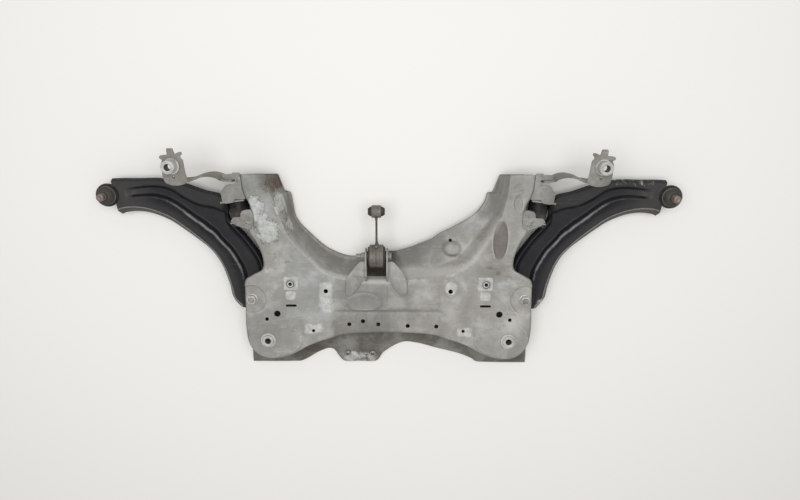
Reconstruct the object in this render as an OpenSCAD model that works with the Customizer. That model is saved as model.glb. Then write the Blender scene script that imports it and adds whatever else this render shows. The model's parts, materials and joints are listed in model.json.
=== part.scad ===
// Front subframe of a compact car: a welded two-shell cradle with its lower control arms,
// front body-mount brackets and torque rod. +Y is the car's forward direction, +Z is up.

/* [Cradle] */
// Overall length, from the rear corner flats to the crown of the front brackets
overall_l = 567; // [555:1:585]
// How far the rear corner flats lie in front of the datum line that the distances below start from
rear_flat_y = 5; // [0:1:8]
// Height of the rear deck above the underside
deck_h = 80; // [76:1:90]
// How much higher the forward arms stand than the rear deck
arm_rise = 20; // [8:1:28]
// Sheet thickness of both shells
sheet_t = 2.5; // [2:0.1:3.5]
// Depth of the stiffening pan pressed into the lower shell
pan_depth = 5; // [3:0.5:8]

/* [Body mounts] */
// Half the distance between the rear body-mount sleeves
rear_mount_x = 297; // [290:1:305]
// Distance of the rear body-mount sleeves from the datum line
rear_mount_y = 93; // [88:1:98]
// Bore of every body-mount sleeve
mount_bore_d = 14.5; // [12.5:0.5:16.5]
// Half the distance between the front body-mount sleeves
horn_x = 475; // [465:1:485]
// Distance of the front body-mount sleeves from the datum line
horn_y = 533; // [528:1:536]
// Height of the front body-mount plates
horn_h = 165; // [150:1:190]

/* [Steering rack and anti-roll bar] */
// Half the distance between the threaded rack sleeves
rack_x = 238; // [232:1:242]
// Distance of the rack sleeves from the datum line
rack_y = 238; // [234:1:242]
// Core diameter of the rack thread
rack_thread_d = 8.5; // [6.8:0.1:10.2]

/* [Control arms] */
// Half the distance between the ball joints
ball_x = 674; // [660:1:690]
// Distance of the ball joints from the datum line
ball_y = 450; // [440:1:460]
// Diameter of the ball on the stud
ball_d = 27; // [24:0.5:30]
// Half the distance between the rear pivots, which stand upright
rear_pivot_x = 334; // [328:1:338]
// Distance of the rear pivots from the datum line
rear_pivot_y = 198; // [194:1:202]
// Half the distance between the front pivots, which lie along the swing axis
front_pivot_x = 360; // [356:1:364]
// Distance of the front pivots from the datum line
front_pivot_y = 418; // [414:1:422]
// Height of the swing axis above the underside
pivot_z = 45; // [44:0.5:47]
// Sheet thickness of the control arms
arm_t = 3; // [2.5:0.1:4]

/* [Torque rod] */
// Sideways place of the rod
rod_x = -27.5; // [-33:0.5:-22]
// Distance of the rod's bolt from the datum line
rod_y = 309; // [304:1:314]
// Height of the rod's bolt
rod_z = 84; // [80:1:90]
// Length between the rod's two bushes
rod_l = 109; // [100:1:125]
// Clear width between the clevis ears
clevis_gap = 47; // [46:0.5:50]

/* [Hidden] */
$fn = 48;

// Gap left between welded sheets, bonded rubber and steel, and seated washers
seat = 0.3;
// Radial running clearance of anything that turns
run = 0.05;
// Each station of the cradle's outline is split into this many rows
station_split = 2;
// Each station of a control arm is split into this many rows
arm_split = 2;
// How far the cutting tools run past the metal
past = 5;

frame_grey = [0.62, 0.61, 0.58];
shell_dark = [0.50, 0.48, 0.45];
bracket_grey = [0.70, 0.69, 0.66];
arm_black = [0.16, 0.16, 0.17];
rubber_black = [0.10, 0.10, 0.10];
bolt_grey = [0.66, 0.65, 0.62];
rust_brown = [0.42, 0.30, 0.22];

// The outer edge of the upper shell, from the left forward arm's tip to the middle of the rear edge
outer_half = [
    [-350, 496], [-346, 462], [-330, 434], [-327, 402], [-336, 372], [-320, 338], [-309, 302],
    [-310, 272], [-337, 256], [-354, 242], [-357, 205], [-357, 160], [-357, 115], [-350, 75],
    [-325, 46], [-286, 37], [-242, 49], [-196, 73], [-150, 89], [-100, 99], [-50, 102]
];
outer_edge = concat(outer_half, [[0, 103]], [for (i = [len(outer_half) - 1:-1:0])
    [-outer_half[i].x, outer_half[i].y]]);
stations = len(outer_edge) - 1;

// The rear edge of the lower shell, from its left corner flat over the mid tab to its right corner flat
corner_x = 355;
lower_rear = [
    [-corner_x, rear_flat_y], [-294, rear_flat_y], [-232, rear_flat_y + 1], [-178, 35],
    [-146, 41], [-118, 8],
    [-76, 7], [-34, 8], [-12, 34], [33, 60], [74, 58], [122, 45], [177, 31], [213, 17],
    [233, rear_flat_y + 1], [294, rear_flat_y], [corner_x, rear_flat_y]
];
rear_start = 13;

// The rim of the bay between the forward arms, each point with the station that it belongs to
rim_key = [
    [0, -271, 496], [1.2, -262, 472], [1.8, -254, 454], [2.1, -242, 451], [3.2, -236, 420],
    [4.2, -232, 396], [5.2, -220, 374], [6.4, -195, 348], [7.6, -173, 327], [8.8, -152, 311],
    [10.4, -125, 298], [12.4, -101, 291], [15, -74, 290], [18, -46, 293], [21, -14, 300],
    [23.5, 5, 306], [25.5, 28, 313], [28, 54, 321],
    [30, 77, 330], [32, 104, 341], [33.6, 127, 357], [34.8, 146, 366], [36, 174, 381], [37.2, 202, 398],
    [38.2, 222, 414], [39, 236, 432], [39.8, 243, 452], [40.1, 254, 454], [40.8, 262, 472], [42, 271, 496]
];
// The crest where the deck turns down towards that rim
crest_key = [
    [0, -284, 496], [3, -262, 425], [5, -237, 357], [7, -208, 317], [9, -180, 287], [11, -156, 264],
    [14, -122, 251], [17, -88, 247], [21, -4, 247], [25, 64, 248], [28, 120, 251], [30, 156, 260],
    [32, 184, 275], [34, 210, 302], [36, 236, 346], [38, 262, 396], [40, 278, 450], [42, 284, 496]
];

front_pivot_angle = atan2(front_pivot_x - rear_pivot_x, front_pivot_y - rear_pivot_y);
// Depth of the round dish around each rear pivot
dish_depth = 4;
sleeve_top = deck_h - dish_depth - sheet_t - 3 * seat;
sleeve_bottom = 16;
stud_top = 98;
horn_t = 5;

function blend(a, b, v) = let (t = min(max((v - a) / (b - a), 0), 1)) t * t * (3 - 2 * t);
function mix(a, b, t) = a + (b - a) * t;
function within(d, edge, soft) = 1 - blend(edge - soft, edge + soft, d);
function oval(x, y, cx, cy, rx, ry) = norm([(x - cx) / rx, (y - cy) / ry]);
function box_mask(x, y, x0, x1, y0, y1, soft) =
    blend(x0 - soft, x0 + soft, x) * within(x, x1, soft)
    * blend(y0 - soft, y0 + soft, y) * within(y, y1, soft);

// A smooth curve through points, at a parameter that counts the points
function curve(p, t) =
    let (
        n = len(p) - 1,
        i = min(floor(t), n - 1),
        f = t - i,
        a = p[max(i - 1, 0)],
        b = p[i],
        c = p[i + 1],
        d = p[min(i + 2, n)]
    )
    0.5 * (2 * b + (c - a) * f + (2 * a - 5 * b + 4 * c - d) * f * f + (3 * b - a - 3 * c + d) * f * f * f);
function straight(p, t) = let (i = min(floor(t), len(p) - 2)) mix(p[i], p[i + 1], t - i);
function keyed(key, s) =
    curve([for (k = key) [k[1], k[2]]], lookup(s, [for (i = [0:len(key) - 1]) [key[i][0], i]]));

function unit(v) = v / norm(v);
function row_normal(rows, i, j) =
    let (
        n = len(rows) - 1,
        m = len(rows[0]) - 1,
        du = rows[min(i + 1, n)][j] - rows[max(i - 1, 0)][j],
        dv = rows[i][min(j + 1, m)] - rows[i][max(j - 1, 0)]
    )
    unit(cross(du, dv));

// A pressed sheet: rows of points on its upper face, given a thickness along the face's normal
module pressed_sheet(rows, t) {
    n = len(rows);
    m = len(rows[0]);
    top = [for (r = rows) for (p = r) p];
    under = [for (i = [0:n - 1]) for (j = [0:m - 1]) rows[i][j] - t * row_normal(rows, i, j)];
    k = n * m;
    skin = [for (i = [0:n - 2]) for (j = [0:m - 2]) let (a = i * m + j) each [
        [a, a + 1, a + m + 1], [a, a + m + 1, a + m],
        [k + a, k + a + m + 1, k + a + 1], [k + a, k + a + m, k + a + m + 1]
    ]];
    ends = [for (j = [0:m - 2]) let (a = j, b = (n - 1) * m + j) each [
        [a, k + a, k + a + 1], [a, k + a + 1, a + 1],
        [b, k + b + 1, k + b], [b, b + 1, k + b + 1]
    ]];
    sides = [for (i = [0:n - 2]) let (a = i * m, b = i * m + m - 1) each [
        [a, k + a + m, k + a], [a, a + m, k + a + m],
        [b, k + b, k + b + m], [b, k + b + m, b + m]
    ]];
    polyhedron(concat(top, under), concat(skin, ends, sides), convexity = 10);
}

// Height of the deck, with the features that are pressed into it
function deck_z(x, y) =
    let (ax = abs(x))
    deck_h
    + arm_rise * blend(285, 420, y)
    - 9 * within(y, 168, 7) * within(ax, 132, 14)
    - dish_depth * within(norm([ax - rear_pivot_x, y - rear_pivot_y]), 37, 3)
    + 3 * within(norm([ax - rear_mount_x, y - rear_mount_y]), 50, 6)
    + 2 * box_mask(ax, y, rack_x - 19, rack_x + 16, rack_y - 16, rack_y + 16, 3)
    + 5 * within(oval(x, y, -60, 190, 50, 24), 0.9, 0.2)
    + 3 * box_mask(x, y, -2, 124, 176, 236, 6)
    - 5 * within(oval(x, y, 268, 349, 19.5, 56), 0.85, 0.2);

// How far the bay's wall has come down, from 0 at the crest to 1 at the rim, as a plain wall or as a web
wall_curve = [
    [0, 0], [0.07, 0.014], [0.15, 0.075], [0.25, 0.19], [0.36, 0.34], [0.6, 0.68], [0.82, 0.93], [1, 1]
];
function wall_fall(f) = lookup(f, wall_curve);
function web_fall(f) = 0.62 * blend(0, 0.36, f) + 0.38 * f;
function web_share(s) = blend(21, 25, s) * (1 - blend(37, 40, s));
// The lower shell's rim climbs later than the upper one's
lower_ease = 1.7;
function rim_z(s, ease = 1) = mix(9 + sheet_t + seat, 40, pow(web_share(s), ease));

outer_steps = [[0, 0], [1.5, 0.55], [4, 0.85], [8, 0.97], [14, 1]];
deck_steps = [0.13, 0.31, 0.45, 0.6, 0.76, 0.9];
wall_steps = [0, 0.07, 0.15, 0.36, 0.6, 0.82, 1];

// At both tips of the forward arms the top reaches further forward than the edges below it
tip_lean = 11;
function tip_share(s) = 1 - blend(0, 1.5, min(s, stations - s));
// A low dome pressed up out of the web
function boss(x, y) = 9 * within(oval(x, y, 155, 321, 25, 20), 0.75, 0.42);

function upper_row(s) =
    let (
        o = curve(outer_edge, s),
        c = keyed(crest_key, s),
        r = keyed(rim_key, s),
        inward = unit(c - o),
        foot = pan_depth + sheet_t + seat,
        lip = o + inward * outer_steps[4][0],
        crest_height = deck_z(c.x, c.y),
        web = web_share(s),
        shell = [for (e = outer_steps) let (p = o + inward * e[0])
            [p.x, p.y, mix(foot, deck_z(p.x, p.y), e[1])]],
        deck = [for (f = deck_steps) let (p = mix(lip, c, f)) [p.x, p.y, deck_z(p.x, p.y)]],
        wall = [for (f = wall_steps) let (p = mix(c, r, f), fall = mix(wall_fall(f), web_fall(f), web))
            [p.x, p.y, mix(crest_height, rim_z(s), fall) + boss(p.x, p.y)]],
        lean = tip_lean * tip_share(s) / (crest_height - foot)
    )
    [for (p = concat(shell, deck, wall)) [p.x, p.y + lean * (p.z - foot), p.z]];

// The lower shell follows the upper one's edges, and reaches further back at the rear
function lower_outer(s) =
    let (rear_end = rear_start + len(lower_rear) - 1)
    s < rear_start - 2 || s > rear_end + 2 ? curve(outer_edge, s)
    : s < rear_start
    ? mix(curve(outer_edge, rear_start - 2), lower_rear[0], blend(rear_start - 2, rear_start, s))
    : s > rear_end
    ? mix(curve(outer_edge, rear_end + 2), lower_rear[len(lower_rear) - 1], blend(rear_end + 2, rear_end, s))
    : s < rear_start + 2 || s > rear_end - 2
    ? straight(lower_rear, s - rear_start)
    : curve(lower_rear, s - rear_start);

function lower_z(x, y) =
    sheet_t
    + (sleeve_bottom - sheet_t - seat) * within(norm([abs(x) - rear_pivot_x, y - rear_pivot_y]), 42, 4);

function lower_row(s) =
    let (
        o = lower_outer(s),
        c = keyed(crest_key, s),
        r = keyed(rim_key, s),
        flange = pan_depth + sheet_t,
        inward = unit(c - o),
        rear = blend(11, 13, s) * (1 - blend(29, 31, s)),
        wide = mix(16, 48, rear),
        edge = [for (d = [0, wide * 0.5, wide]) let (p = o + inward * d)
            [p.x, p.y, max(flange, lower_z(p.x, p.y))]],
        pan = [for (f = [0.12, 0.3, 0.55, 0.8, 1]) let (p = mix(o + inward * wide, c, f))
            [p.x, p.y, lower_z(p.x, p.y)]],
        rise = [for (f = [0.35, 0.7, 0.86, 1]) let (p = mix(c, r, f))
            [p.x, p.y, mix(sheet_t, rim_z(s, lower_ease) - sheet_t - 3 * seat, blend(0.3, 0.9, f))]]
    )
    concat(edge, pan, rise);

function cradle_stations() = [for (i = [0:stations * station_split]) i / station_split];

// Left and right pieces: the left one is drawn, the right one is its mirror
module sided(side) {
    if (side == "left")
        children();
    else
        mirror([1, 0, 0]) children();
}
// Everything is drawn from the datum line, then centred on the origin
module placed() {
    translate([0, -rear_flat_y - overall_l / 2, 0]) children();
}
module upright(x, y, z = 0) {
    translate([x, y, z]) children();
}
// The swing axis of the left control arm, turned so that +Z of the children runs along it
module on_front_pivot() {
    translate([-front_pivot_x, front_pivot_y, pivot_z]) rotate([0, 0, front_pivot_angle])
        rotate([-90, 0, 0]) children();
}
module tube(r, bore, h) {
    difference() {
        cylinder(r = r, h = h);
        translate([0, 0, -past]) cylinder(r = bore, h = h + 2 * past);
    }
}
module hexagon(across, h) {
    cylinder(r = across / sqrt(3), h = h, $fn = 6);
}
module flange_nut(across, bore, h) {
    difference() {
        union() {
            cylinder(r = across * 0.68, h = 2.5);
            hexagon(across, h);
        }
        translate([0, 0, -past]) cylinder(r = bore, h = h + 2 * past);
    }
}
module flange_bolt(across, shank, length, head) {
    cylinder(r = shank, h = length);
    translate([0, 0, -2.5]) cylinder(r = across * 0.68, h = 2.5);
    translate([0, 0, -head]) hexagon(across, head);
}
module drill(x, y, d) {
    upright(x, y, -past) cylinder(d = d, h = 150);
}
// A slot across the car
module drill_slot(x, y, w, d) {
    upright(x - w / 2, y - d / 2, 40) cube([w, d, 80]);
}

// Holes that are the same on the left and the right of the deck
module deck_holes() {
    for (m = [-1, 1]) {
        drill(m * rear_mount_x, rear_mount_y, 2 * 14 + 2 * seat);
        drill(m * rack_x, rack_y, 2 * 9 + 2 * seat);
        drill(m * rear_pivot_x, rear_pivot_y, 14.6);
        drill(m * 152, 220, 11);
        drill(m * 273, 161, 16);
        drill(m * 299, 147, 9);
        drill(m * 185, 117, 8);
        drill_slot(m * 238, 182, 27, 6);
    }
    for (p = [[-97, 131], [-63, 139], [-25, 131], [48, 127], [119, 126]])
        drill(p.x, p.y, 10.5);
    drill(151, 340, 8);
}
// The side windows through which the control arms' tails reach their rear pivots
module tail_windows() {
    for (m = [-1, 1])
        upright(m * 355, 238, 38) cube([120, 210, 66], center = true);
}
// The pocket in the front wall that the torque rod's large bush and its clevis stand in
module rod_pocket() {
    reach = clevis_gap / 2 + 5;
    upright(rod_x - reach, 255, 14) cube([2 * reach, 68, 100]);
}

module upper_shell() {
    color(frame_grey) placed() difference() {
        pressed_sheet([for (s = cradle_stations()) upper_row(s)], sheet_t);
        deck_holes();
        tail_windows();
        rod_pocket();
    }
}
module lower_shell() {
    color(shell_dark) placed() difference() {
        pressed_sheet([for (s = cradle_stations()) lower_row(s)], sheet_t);
        for (m = [-1, 1]) {
            drill(m * rear_mount_x, rear_mount_y, 2 * 14 + 2 * seat);
            drill(m * rack_x, rack_y, 2 * 9 + 2 * seat);
            drill(m * rear_pivot_x, rear_pivot_y, 14.6);
            drill(m * 200, 160, 24);
            drill(m * 285, 330, 18);
        }
        drill(0, 180, 30);
        for (x = [-107, -42])
            drill(x, 30, 9);
        drill(-60, 26, 6);
    }
}
module tab_nuts() {
    color(bolt_grey) placed() for (x = [-107, -42])
        upright(x, 30, pan_depth + sheet_t + seat) tube(8, 4.25, 7);
}

// A body-mount sleeve: a tube through both shells with a pressed collar on the deck
module rear_sleeve(side) {
    collar_z = deck_h + 3 + seat;
    color(bracket_grey) placed() sided(side) upright(-rear_mount_x, rear_mount_y) difference() {
        union() {
            cylinder(r = 14, h = collar_z + 9);
            upright(0, 0, collar_z) cylinder(r = 19, h = 3);
        }
        upright(0, 0, -past) cylinder(d = mount_bore_d, h = 120);
    }
}
// A threaded spacer for the steering rack, with a raised ring on the deck
module rack_sleeve(side) {
    ring_z = deck_h + 2 + seat;
    color(bolt_grey) placed() sided(side) upright(-rack_x, rack_y) difference() {
        union() {
            upright(0, 0, 1) cylinder(r = 9, h = ring_z + 2);
            upright(0, 0, ring_z) cylinder(r = 12, h = 3);
        }
        upright(0, 0, -past) cylinder(d = rack_thread_d, h = 120);
    }
}

// Ears of the front pivot: a plate across the swing axis and a flange that laps onto the deck
pivot_half = 23.5;
ear_t = 4;
ear_h = deck_h + arm_rise + seat - pivot_z;
module ear_plate(outline) {
    linear_extrude(ear_t) difference() {
        polygon(outline);
        circle(r = 6.3);
    }
}
module front_ear(side) {
    // The flange covers the pivot, with a notch that the front bracket's strap passes through
    flange = [
        [-384.5, 440.5], [-388.5, 464], [-376.5, 481], [-369.5, 483.5], [-353, 483.5], [-353, 495.5],
        [-369.5, 495.5], [-380.5, 498], [-382.5, 507], [-359.5, 508], [-358.5, 511], [-342, 511],
        [-341, 506], [-338, 472], [-331, 450.5], [-338, 449], [-356, 449], [-359.5, 441.5], [-376.5, 438.5]
    ];
    color(frame_grey) placed() sided(side) union() {
        on_front_pivot() translate([0, 0, pivot_half])
            ear_plate([[-18, 26], [22, 26], [28, -ear_h - 1], [-30, -ear_h - 1], [-20, -22]]);
        upright(0, 0, pivot_z + ear_h) linear_extrude(ear_t) polygon(flange);
    }
}
module rear_ear(side) {
    // The flange reaches forward beside the bush
    flange = [
        [-361.5, 390.5], [-368.5, 397.5], [-362.5, 406], [-345, 407], [-345, 415], [-341, 421.5], [-329, 425],
        [-320, 425], [-316, 418], [-315, 400], [-317, 384], [-328, 377], [-351.5, 385]
    ];
    color(frame_grey) placed() sided(side) union() {
        on_front_pivot() translate([0, 0, -pivot_half - ear_t])
            ear_plate([[-20, 24], [25, 24], [28, -ear_h - 1], [-14, -ear_h - 1], [-20, -8]]);
        upright(0, 0, pivot_z + ear_h) linear_extrude(ear_t) polygon(flange);
    }
}

// Front body-mount bracket: an upright S-bent strap that climbs outwards to a flat plate with three tabs
strap_path = [
    [-349, 487], [-370, 487], [-386, 490.5], [-395, 498], [-408, 503], [-424, 501.5],
    [-437, 495.5], [-458, 493.5],
    [-476, 494], [-487, 498]
];
module strap_plan() {
    steps = [for (i = [0:3 * (len(strap_path) - 1)]) i / 3];
    points = [for (t = steps) curve(strap_path, t)];
    last = len(points) - 1;
    side = [for (i = [0:last]) let (d = unit(points[min(i + 1, last)] - points[max(i - 1, 0)]))
        [d.y, -d.x] * horn_t / 2];
    polygon(concat([for (i = [0:last]) points[i] + side[i]], [for (i = [last:-1:0]) points[i] - side[i]]));
}
module horn(side) {
    crown_y = rear_flat_y + overall_l;
    plate = [
        [-484, crown_y - 3], [-482.5, crown_y], [-470, crown_y], [-469, crown_y - 4], [-467, 561],
        [-464, 560], [-459, 563.5], [-452, 564.5], [-450, 562], [-451, 558], [-454, 556], [-454, 551],
        [-449, 547], [-446, 521], [-443, 507], [-440, 499], [-449, 493], [-461, 490], [-475, 490],
        [-488, 494], [-493, 500], [-496, 509], [-498, 538], [-495, 544], [-495, 547], [-500, 549.5],
        [-501, 553], [-498, 556.5], [-491, 557.5], [-483, 558]
    ];
    color(bracket_grey) placed() sided(side) union() {
        intersection() {
            linear_extrude(horn_h + 1) strap_plan();
            translate([0, 600, 0]) rotate([90, 0, 0]) linear_extrude(200) polygon([
                [-349, 40], [-380, 44], [-430, 96], [-500, horn_h - 40], [-500, horn_h + 1],
                [-450, horn_h + 1], [-414, horn_h - 20], [-385, 108], [-359, 102], [-357.5, 85.5],
                [-349, 85.5]
            ]);
        }
        difference() {
            upright(0, 0, horn_h) linear_extrude(4) polygon(plate);
            upright(-horn_x, horn_y, horn_h - past) cylinder(d = mount_bore_d + 4, h = 4 * past);
            upright(-471, 508, horn_h - past) cylinder(d = 7, h = 4 * past);
        }
    }
}
module horn_sleeve(side) {
    color(bracket_grey) placed() sided(side) upright(-horn_x, horn_y, horn_h + 4 + seat) difference() {
        union() {
            cylinder(r = 18, h = 3);
            cylinder(r = 15, h = 27);
        }
        upright(0, 0, -past) cylinder(d = mount_bore_d, h = 60);
    }
}

module front_pivot_sleeve(side) {
    color(bolt_grey) placed() sided(side) on_front_pivot() translate([0, 0, -pivot_half + seat])
        tube(9, 6.3, 2 * pivot_half - 2 * seat);
}
module front_pivot_bolt(side) {
    color(rust_brown) placed() sided(side) on_front_pivot()
        translate([0, 0, pivot_half + ear_t + seat]) mirror([0, 0, 1]) flange_bolt(18, 6, 72, 9);
}
module front_pivot_nut(side) {
    color(bolt_grey) placed() sided(side) on_front_pivot()
        translate([0, 0, -pivot_half - ear_t - seat]) mirror([0, 0, 1]) flange_nut(18, 6.2, 11);
}
module rear_pivot_sleeve(side) {
    color(bolt_grey) placed() sided(side) upright(-rear_pivot_x, rear_pivot_y, sleeve_bottom)
        tube(12, 7.3, sleeve_top - sleeve_bottom);
}
module rear_pivot_bolt(side) {
    color(rust_brown) placed() sided(side)
        upright(-rear_pivot_x, rear_pivot_y, sleeve_bottom - sheet_t - 5 * seat) flange_bolt(21, 7, 78, 11);
}
module rear_pivot_nut(side) {
    color(bolt_grey) placed() sided(side)
        upright(-rear_pivot_x, rear_pivot_y, deck_h - dish_depth + 2 * seat) flange_nut(21, 7.2, 13);
}

// Clevis of the torque rod: an upright ear, and a foot that lies on the deck
module clevis_half(foot, lift) {
    ear_h = 4;
    foot_z = deck_h + lift + seat;
    rotate([90, 0, 90]) linear_extrude(ear_h) difference() {
        union() {
            polygon([
                [242, foot_z], [268, foot_z - 8], [292, 52], [324, 64], [328, 92], [304, 104], [262, 100]
            ]);
            translate([rod_y, rod_z]) circle(r = 20);
        }
        translate([rod_y, rod_z]) circle(r = 6.3);
    }
    upright(0, 0, foot_z) linear_extrude(ear_h) polygon(foot);
}
module clevis_left() {
    inner = rod_x - clevis_gap / 2;
    foot = [
        [4, 296], [-12, 296], [-28, 278], [-45, 256], [-49, 236], [-48, 212], [-38, 208],
        [-18, 229], [-9, 245], [4, 252]
    ];
    color(bracket_grey) placed() translate([inner - 4, 0, 0]) clevis_half(foot, 1.5);
}
module clevis_right() {
    inner = rod_x + clevis_gap / 2;
    foot = [
        [0, 296], [16, 296], [24, 288], [40, 270], [50, 245], [49, 214], [39, 210], [18, 228],
        [10, 246], [0, 252]
    ];
    color(bracket_grey) placed() translate([inner, 0, 0]) clevis_half(foot, 3.5);
}
module along_rod_bolt(x) {
    translate([x, rod_y, rod_z]) rotate([0, 90, 0]) children();
}
module rod_inner_sleeve() {
    color(bolt_grey) placed() along_rod_bolt(rod_x - clevis_gap / 2 + seat)
        tube(10, 6.3, clevis_gap - 2 * seat);
}
module rod_bolt() {
    head_x = rod_x + clevis_gap / 2 + 4 + seat;
    color(bolt_grey) placed() along_rod_bolt(head_x) mirror([0, 0, 1])
        flange_bolt(16, 6, clevis_gap + 30, 8);
}
module rod_nut() {
    color(bolt_grey) placed() along_rod_bolt(rod_x - clevis_gap / 2 - 4 - seat) mirror([0, 0, 1])
        flange_nut(16, 6.2, 10);
}

// Torque rod: two rings joined by an upright flat bar
rod_large_r = 28;
rod_small_r = 15;
module torque_rod() {
    color(bolt_grey) placed() difference() {
        union() {
            along_rod_bolt(rod_x - 16.5) cylinder(r = rod_large_r, h = 33);
            translate([0, rod_l, 0]) along_rod_bolt(rod_x - 11) cylinder(r = rod_small_r, h = 22);
            translate([rod_x - 3, 0, 0]) rotate([90, 0, 90]) linear_extrude(6) polygon([
                [rod_y + 18, rod_z - 20], [rod_y + 44, rod_z - 13], [rod_y + rod_l - 10, rod_z - 11],
                [rod_y + rod_l - 10, rod_z + 11], [rod_y + 44, rod_z + 13], [rod_y + 18, rod_z + 20]
            ]);
        }
        along_rod_bolt(rod_x - 30) cylinder(r = rod_large_r - 4, h = 60);
        translate([0, rod_l, 0]) along_rod_bolt(rod_x - 30) cylinder(r = rod_small_r - 3, h = 60);
    }
}
module rod_large_rubber() {
    outer = rod_large_r - 4 - seat / 2;
    color(rubber_black) placed() along_rod_bolt(rod_x) rotate_extrude() polygon([
        [10 + run, -22], [21, -22], [outer, -18], [outer, 18], [21, 22], [10 + run, 22]
    ]);
}
module rod_small_rubber() {
    outer = rod_small_r - 3 - seat / 2;
    color(rubber_black) placed() translate([0, rod_l, 0]) along_rod_bolt(rod_x) rotate_extrude() polygon([
        [8 + seat / 2, -18], [9.5, -18], [outer, -12], [outer, 12], [9.5, 18], [8 + seat / 2, 18]
    ]);
}
module rod_small_sleeve() {
    color(bolt_grey) placed() translate([0, rod_l, 0]) along_rod_bolt(rod_x - 20) tube(8, 5.25, 40);
}

// Control arm: a pressed strip that bends from the ball joint back to the rear pivot, with its edges turned
// down and a shallow channel along its middle
arm_front = [
    [-664, 489], [-640, 490], [-600, 490], [-545, 490], [-490, 479], [-440, 462], [-402, 452],
    [-385, 428], [-385, 395], [-343, 346], [-308, 290], [-302, 235], [-302, 190], [-320, 164]
];
arm_rear = [
    [-652, 406], [-638, 411], [-610, 413], [-574, 407], [-532, 390], [-498, 366], [-468, 342], [-446, 322],
    [-426, 300], [-411, 273], [-402, 249], [-394, 220], [-388, 191], [-372, 172]
];
// The channel's two walls, as shares of the arm's width: station, front wall, rear wall
arm_channel = [
    [0, 0.36, 0.56], [1.8, 0.3, 0.6], [2.7, 0.22, 0.55], [3.4, 0.24, 0.53], [4.3, 0.33, 0.58],
    [5.4, 0.41, 0.68], [6.2, 0.36, 0.68], [7.3, 0.15, 0.65], [8.7, 0.15, 0.53], [10.3, 0.15, 0.6],
    [13, 0.15, 0.6]
];
channel_depth = 9;
// Radius of the arm's collar around the ball joint
collar_r = 28;
// How far the arm's front and rear edges are turned down
front_turn = 11;
rear_turn = 22;
function arm_level(t) = mix(54, 59, blend(3, 10, t));
function arm_drop(t) = channel_depth * blend(1.2, 1.9, t) * (1 - blend(10.2, 12, t));
function arm_row(t) =
    let (
        f = curve(arm_front, t),
        r = curve(arm_rear, t),
        near = lookup(t, [for (c = arm_channel) [c[0], c[1]]]),
        far = lookup(t, [for (c = arm_channel) [c[0], c[2]]]),
        drop = arm_drop(t),
        // Behind the front pivot the channel runs out over the front edge
        open = drop * blend(6.4, 7.3, t),
        steps = [
            [0, open + front_turn], [0.035, open + 2.5], [0.08, open], [near - 0.03, open],
            [near + 0.05, drop],
            [(near + far) / 2, drop], [far - 0.05, drop], [far + 0.04, 0.8], [0.86, 0], [0.94, 3],
            [0.98, rear_turn / 2], [1, rear_turn]
        ]
    )
    [for (e = steps) let (p = mix(f, r, e[0])) [p.x, p.y, arm_level(t) - e[1]]];

ball_z = 46;
module on_ball(z = 0) {
    upright(-ball_x, ball_y, z) children();
}
module control_arm(side) {
    last = len(arm_front) - 1;
    color(arm_black) placed() sided(side) difference() {
        union() {
            pressed_sheet([for (i = [last * arm_split:-1:0]) arm_row(i / arm_split)], arm_t);
            on_ball(arm_level(0) - arm_t - seat) cylinder(r = collar_r, h = arm_t);
        }
        on_ball() cylinder(r = 24 + seat / 2, h = 100);
        upright(-rear_pivot_x, rear_pivot_y) cylinder(r = 31 + seat / 2, h = 100);
        on_front_pivot() cylinder(r = 23 + seat, h = 90, center = true);
    }
}
module front_eye(side) {
    color(arm_black) placed() sided(side) on_front_pivot() translate([0, 0, -21]) tube(23, 19.5, 42);
}
module front_rubber(side) {
    color(rubber_black) placed() sided(side) on_front_pivot() rotate_extrude() polygon([
        [9 + run, -22.5], [13, -22.5], [19.5 - seat / 2, -19], [19.5 - seat / 2, 19], [13, 22.5],
        [9 + run, 22.5]
    ]);
}
module rear_can(side) {
    color(arm_black) placed() sided(side) upright(-rear_pivot_x, rear_pivot_y, 29) tube(31, 27, 32);
}
module rear_rubber(side) {
    bore = 12 + seat / 2;
    outer = 27 - seat / 2;
    color(rubber_black) placed() sided(side) upright(-rear_pivot_x, rear_pivot_y, pivot_z)
        rotate_extrude() polygon([
            [bore, -19], [16, -19], [21, -11], [outer, -15], [outer, 15], [21, 11], [16, 19], [bore, 19]
        ]);
}
module ball_housing(side) {
    ball_r = ball_d / 2;
    color(arm_black) placed() sided(side) on_ball() difference() {
        rotate_extrude() polygon([
            [0, 28], [18, 28], [24, 33], [24, 54 + seat], [27, 54 + seat], [27, 58], [24, 60], [0, 60]
        ]);
        upright(0, 0, ball_z) sphere(r = ball_r + run);
        upright(0, 0, ball_z + 5.5) cylinder(r1 = ball_r - 1.2, r2 = ball_r + 3, h = 9);
    }
}
module ball_boot(side) {
    color(rubber_black) placed() sided(side) on_ball(60 + seat) rotate_extrude() polygon([
        [18, 0], [22, 0], [22.5, 4], [20, 8], [20.5, 11], [14.5, 17], [11, 18], [9 + seat, 18],
        [9 + seat, 15], [12.5, 14], [17.5, 10], [17, 8], [19.5, 4]
    ]);
}
module ball_stud(side) {
    neck_r = 7.5;
    stud_r = 9;
    top = stud_top - ball_z;
    color(rust_brown) placed() sided(side) on_ball(ball_z) union() {
        sphere(d = ball_d);
        rotate_extrude() polygon([
            [0, 0], [neck_r, 0], [neck_r, 20], [8.7, 29], [8.7, 33.5], [stud_r, 34], [stud_r, 36],
            [7.6, 38], [7.6, 42], [stud_r, 44], [stud_r, top - 2], [7.5, top], [0, top]
        ]);
    }
}

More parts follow.
